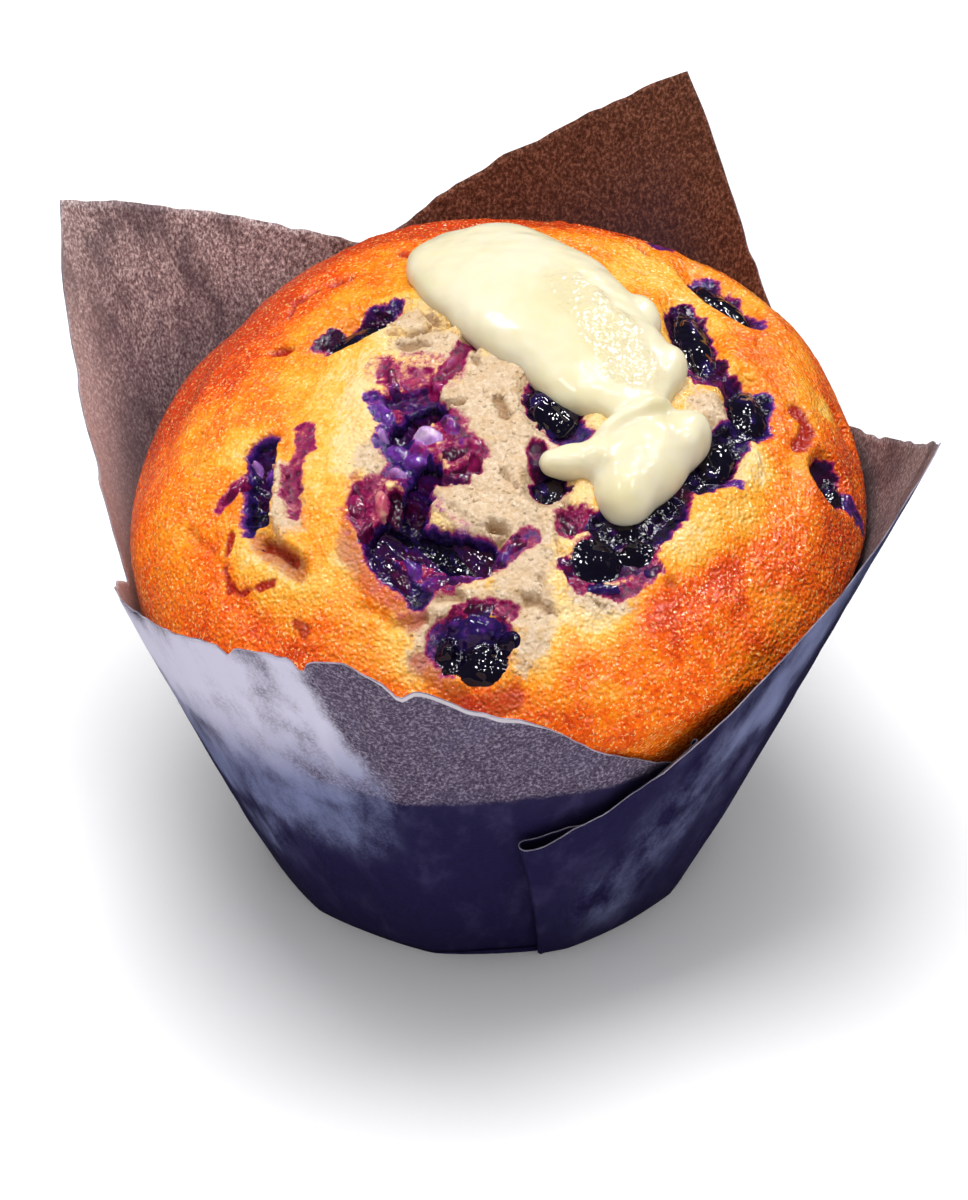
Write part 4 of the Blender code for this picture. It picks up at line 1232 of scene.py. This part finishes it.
def make_butter_material():
    material, nodes, shader = new_material("soft_butter")
    cloud = nodes.noise(7 * MM, 3, 0.5)
    colour = nodes.ramp(cloud, (0.3, linear(223, 213, 172)), (0.7, linear(231, 223, 198)))
    wet = nodes.mask("wet")
    nodes.feed(shader, Base_Color=nodes.blend(nodes.math("MULTIPLY", wet, 0.4), colour, linear(214, 200, 158)))
    nodes.feed(shader, Roughness=nodes.spread(wet, 0.0, 1.0, 0.26, 0.1))
    shader.inputs["Specular IOR Level"].default_value = 0.5
    shader.inputs["Subsurface Weight"].default_value = 0.45
    shader.inputs["Subsurface Radius"].default_value = (1.0, 0.8, 0.4)
    shader.inputs["Subsurface Scale"].default_value = 3.0 * MM
    ripple = nodes.math("MULTIPLY", nodes.noise(0.8 * MM, 1, 0.5), nodes.spread(wet, 0.0, 1.0, 0.05, 0.8))
    height = nodes.math("ADD", ripple, nodes.noise(3.2 * MM, 1, 0.5))
    nodes.feed(shader, Normal=nodes.bump(height, 0.7, 0.5 * MM))
    return material


def paper_fibre_group():
    """Shared fibre look of the paper: a fine mottle, a soft cloud and a height for bumps."""
    group = bpy.data.node_groups.new("paper_fibre", "ShaderNodeTree")
    for name in ("Mottle", "Cloud", "Height"):
        group.interface.new_socket(name=name, in_out="OUTPUT", socket_type="NodeSocketFloat")
    nodes = Nodes(group)
    fine = nodes.noise(0.34 * MM, 4, 0.7, vector=nodes.stretched((1, 1, 0.7)))
    cloud = nodes.noise(6 * MM, 5, 0.62, vector=nodes.stretched((1, 1, 0.4)))
    crease = nodes.noise(3.5 * MM, 3, 0.5, vector=nodes.stretched((1, 1, 0.18)))
    height = nodes.math("ADD", nodes.math("MULTIPLY", fine, 0.25), crease)
    output = group.nodes.new("NodeGroupOutput")
    for name, value in (("Mottle", fine), ("Cloud", cloud), ("Height", height)):
        group.links.new(value, output.inputs[name])
    return group


def add_fibre(nodes, group):
    node = nodes.tree.nodes.new("ShaderNodeGroup")
    node.node_tree = group
    return node.outputs["Mottle"], node.outputs["Cloud"], node.outputs["Height"]


def make_outside_material(group):
    """The outside: indigo where the cake has soaked it, mottled where dry, with a pale bloom."""
    material, nodes, shader = new_material("paper_outside")
    mottle, cloud, height = add_fibre(nodes, group)
    soaked = nodes.ramp(mottle, (0.3, linear(24, 18, 56)), (0.6, linear(34, 27, 68)), (0.85, linear(50, 44, 92)))
    dried = nodes.ramp(
        mottle, (0.34, linear(48, 38, 58)), (0.5, linear(84, 72, 94)), (0.68, linear(160, 148, 166))
    )
    streak = nodes.noise(4 * MM, 4, 0.6, vector=nodes.stretched((1, 1, 0.2)))
    unrest = nodes.math("MULTIPLY", nodes.math("SUBTRACT", cloud, 0.5), 0.7)
    dry = nodes.spread(nodes.math("ADD", nodes.mask("dry"), unrest), 0.3, 0.7)
    colour = nodes.blend(dry, soaked, dried)
    haze = nodes.spread(nodes.math("ADD", cloud, nodes.math("MULTIPLY", streak, 0.5)), 0.74, 0.98, 0.0, 0.14)
    colour = nodes.blend(haze, colour, linear(108, 102, 144))
    grain = nodes.math("ADD", streak, nodes.math("MULTIPLY", mottle, 0.4))
    streaks = nodes.math("MULTIPLY", nodes.math("SUBTRACT", grain, 0.72), 1.8)
    bloom = nodes.math("ADD", nodes.math("MULTIPLY", streaks, nodes.spread(nodes.mask("bloom"), 0.0, 0.3)), nodes.mask("bloom"))
    bloom = nodes.spread(bloom, -0.1, 1.15, 0.0, 0.96)
    on_left = nodes.spread(nodes.mask("turn"), 170.0, 200.0)
    lilac = nodes.math("MULTIPLY", nodes.spread(nodes.mask("rise"), 0.5, 0.84), on_left)
    pale = nodes.blend(lilac, linear(120, 126, 164), linear(206, 202, 222))
    colour = nodes.blend(bloom, colour, pale)
    from_tear = nodes.math("ABSOLUTE", nodes.math("SUBTRACT", nodes.mask("turn"), 267.0), 0.0)
    torn_width = nodes.spread(from_tear, 13.0, 6.0, 0.001, 0.014)
    from_edge = nodes.math("SUBTRACT", 1.0, nodes.mask("rise"))
    torn = nodes.spread(nodes.math("DIVIDE", from_edge, torn_width), 1.2, 0.8)
    colour = nodes.blend(nodes.math("MULTIPLY", torn, 0.85), colour, linear(226, 218, 226))
    nodes.feed(shader, Base_Color=colour)
    nodes.feed(shader, Roughness=nodes.spread(mottle, 0.2, 0.8, 0.46, 0.62))
    shader.inputs["Specular IOR Level"].default_value = 0.03
    nodes.feed(shader, Normal=nodes.bump(height, 0.35, 0.5 * MM))
    return material


def make_inside_material(group):
    """The inside: dry brown-grey paper with clear fibres, browner at the back corner, with painted light on the
    left-back flap and painted shade low down near the cake.
    """
    material, nodes, shader = new_material("paper_inside")
    mottle, cloud, height = add_fibre(nodes, group)
    grey = nodes.ramp(mottle, (0.34, linear(86, 68, 70)), (0.5, linear(162, 138, 139)), (0.68, linear(252, 236, 232)))
    brown = nodes.ramp(mottle, (0.34, linear(54, 26, 16)), (0.5, linear(94, 54, 38)), (0.68, linear(156, 104, 84)))
    away = nodes.math("ABSOLUTE", nodes.math("SUBTRACT", nodes.mask("turn"), 64.0), 0.0)
    away = nodes.math("ADD", away, nodes.math("MULTIPLY", nodes.math("SUBTRACT", cloud, 0.5), 24.0))
    streak = nodes.noise(9 * MM, 4, 0.65, vector=nodes.stretched((1, 1, 0.5)))
    blotch = nodes.math("ADD", nodes.math("MULTIPLY", cloud, 0.5), nodes.math("MULTIPLY", streak, 0.5))
    grey = nodes.blend(nodes.spread(blotch, 0.46, 0.6, 0.0, 0.7), grey, linear(78, 60, 68))
    colour = nodes.blend(nodes.spread(away, 58.0, 34.0), grey, brown)
    # Painted light: the inside of the left-back flap is made paler, for light shining through the paper.
    colour = nodes.blend(nodes.spread(nodes.mask("turn"), 148.0, 172.0, 0.0, 0.6), colour, linear(206, 184, 181))
    # Painted shade: the inside darkens towards the foot of the paper, down by the cake.
    shade = nodes.spread(nodes.mask("rise"), 0.94, 0.6, 0.0, 0.5)
    colour = nodes.blend(shade, colour, linear(62, 52, 74))
    right = nodes.spread(nodes.mask("turn"), 30.0, 15.0, 0.0, 0.5)
    colour = nodes.blend(right, colour, linear(70, 54, 56))
    colour = nodes.blend(nodes.spread(nodes.mask("turn"), -34.0, -40.0), colour, linear(34, 30, 66))
    nodes.feed(shader, Base_Color=colour)
    nodes.feed(shader, Roughness=nodes.spread(cloud, 0.3, 0.7, 0.62, 0.8))
    shader.inputs["Specular IOR Level"].default_value = 0.1
    nodes.feed(shader, Normal=nodes.bump(height, 0.35, 0.5 * MM))
    return material


def make_edge_material():
    material, nodes, shader = new_material("paper_cut_edge")
    tone = nodes.noise(2 * MM, 3, 0.5)
    nodes.feed(shader, Base_Color=nodes.ramp(tone, (0.3, linear(92, 86, 110)), (0.7, linear(168, 160, 176))))
    shader.inputs["Roughness"].default_value = 0.7
    return material


def make_floor_material():
    material, nodes, shader = new_material("studio_floor")
    nodes.feed(shader, Base_Color=(0.96, 0.96, 0.965, 1.0))
    shader.inputs["Roughness"].default_value = 1.0
    return material


# ---------------------------------------------------------------- the studio
def add_camera():
    elevation = math.radians(39.314)
    aim = Vector((-0.04 * MM, 0, 29.97 * MM))
    back = Vector((0, -math.cos(elevation), math.sin(elevation)))
    up = Vector((0, math.sin(elevation), math.cos(elevation)))
    right = Vector((1, 0, 0))
    camera = bpy.data.objects.new("camera", bpy.data.cameras.new("camera"))
    bpy.context.scene.collection.objects.link(camera)
    turned = Matrix((right, up, back)).transposed().to_4x4()
    camera.matrix_world = Matrix.Translation(aim + back * 0.7) @ turned
    camera.data.sensor_width = 36
    camera.data.lens = 188.81
    camera.data.clip_start = 0.01
    bpy.context.scene.camera = camera


LIGHT_DISTANCE = 1.7
SKY_LEVEL = 0.4  # the sky's strength at the horizon
SKY_OVERHEAD = 0.66  # how much stronger it is overhead
SKY_GLOSS = 0.07  # its strength in reflections
FLOOR_SIZE = 3.0
# A big soft box that doesn't show in reflections, as (direction, size in metres, power in watts).
SOFT_BOX = ((-0.06, 0.1, 1.1), 1.0, 23.0)
# Boxes that show only in reflections and make the wet glints, in the same form.
GLINT_BOXES = (
    ((-0.6, 0.35, 1), 0.18, 7.0),
    ((0.42, 0.7, 0.72), 0.22, 10.0),
    ((0.5, 0.2, 1), 0.18, 7.0),
    ((0.1, 0.0, 1), 0.15, 5.0),
    ((-0.4, -0.4, 1), 0.15, 5.0),
    ((0.6, -0.3, 1), 0.15, 5.0),
)


def add_light(name, towards, size, power, in_reflections):
    """A square box at the same distance as the others, seen in reflections alone or never in them."""
    lamp = bpy.data.lights.new(name, "AREA")
    lamp.shape = "SQUARE"
    lamp.size = size
    lamp.energy = power
    light = bpy.data.objects.new(name, lamp)
    bpy.context.scene.collection.objects.link(light)
    light.location = Vector(towards).normalized() * LIGHT_DISTANCE
    light.rotation_euler = light.location.to_track_quat("Z", "Y").to_euler()
    light.visible_glossy = in_reflections
    light.visible_diffuse = not in_reflections


def add_sky():
    """A white sky that is brighter overhead, and dimmer in reflections."""
    world = bpy.data.worlds.new("studio")
    world.use_nodes = True
    nodes = Nodes(world.node_tree)
    background = world.node_tree.nodes["Background"]
    split = nodes.feed(nodes.add("SeparateXYZ"), Vector=nodes.coordinates())
    high = nodes.math("MULTIPLY", split.outputs["Z"], split.outputs["Z"])
    strength = nodes.math("ADD", nodes.math("MULTIPLY", high, SKY_OVERHEAD), SKY_LEVEL)
    in_gloss = nodes.add("LightPath").outputs["Is Glossy Ray"]
    dimmed = nodes.math("MULTIPLY", in_gloss, nodes.math("SUBTRACT", strength, SKY_GLOSS))
    nodes.feed(background, Color=(1, 1, 1, 1), Strength=nodes.math("SUBTRACT", strength, dimmed))
    bpy.context.scene.world = world


def add_studio():
    bm = bmesh.new()
    bmesh.ops.create_grid(bm, x_segments=1, y_segments=1, size=FLOOR_SIZE)
    mesh = bpy.data.meshes.new("floor")
    bm.to_mesh(mesh)
    bm.free()
    mesh.materials.append(make_floor_material())
    floor = bpy.data.objects.new("floor", mesh)
    bpy.context.scene.collection.objects.link(floor)
    floor.visible_glossy = False
    add_sky()
    add_light("soft_box", *SOFT_BOX, False)
    for index, box in enumerate(GLINT_BOXES):
        add_light(f"glint_{index}", *box, True)
    bpy.context.scene.view_settings.view_transform = "Standard"


def main():
    add_camera()
    add_studio()
    juice = juice_colour_group()
    cake = make_cake_material(juice)
    berry = make_berry_material(juice)
    fibre = paper_fibre_group()
    paper = [make_outside_material(fibre), make_inside_material(fibre), make_edge_material()]
    make_cake(cake)
    make_crumbs(cake)
    for name in BERRIES:
        make_berry(name, berry)
    for name in BURST_BERRIES:
        make_burst_berry(name, berry)
    make_butter(make_butter_material())
    make_wall(paper)
    make_foot(paper[0])


main()
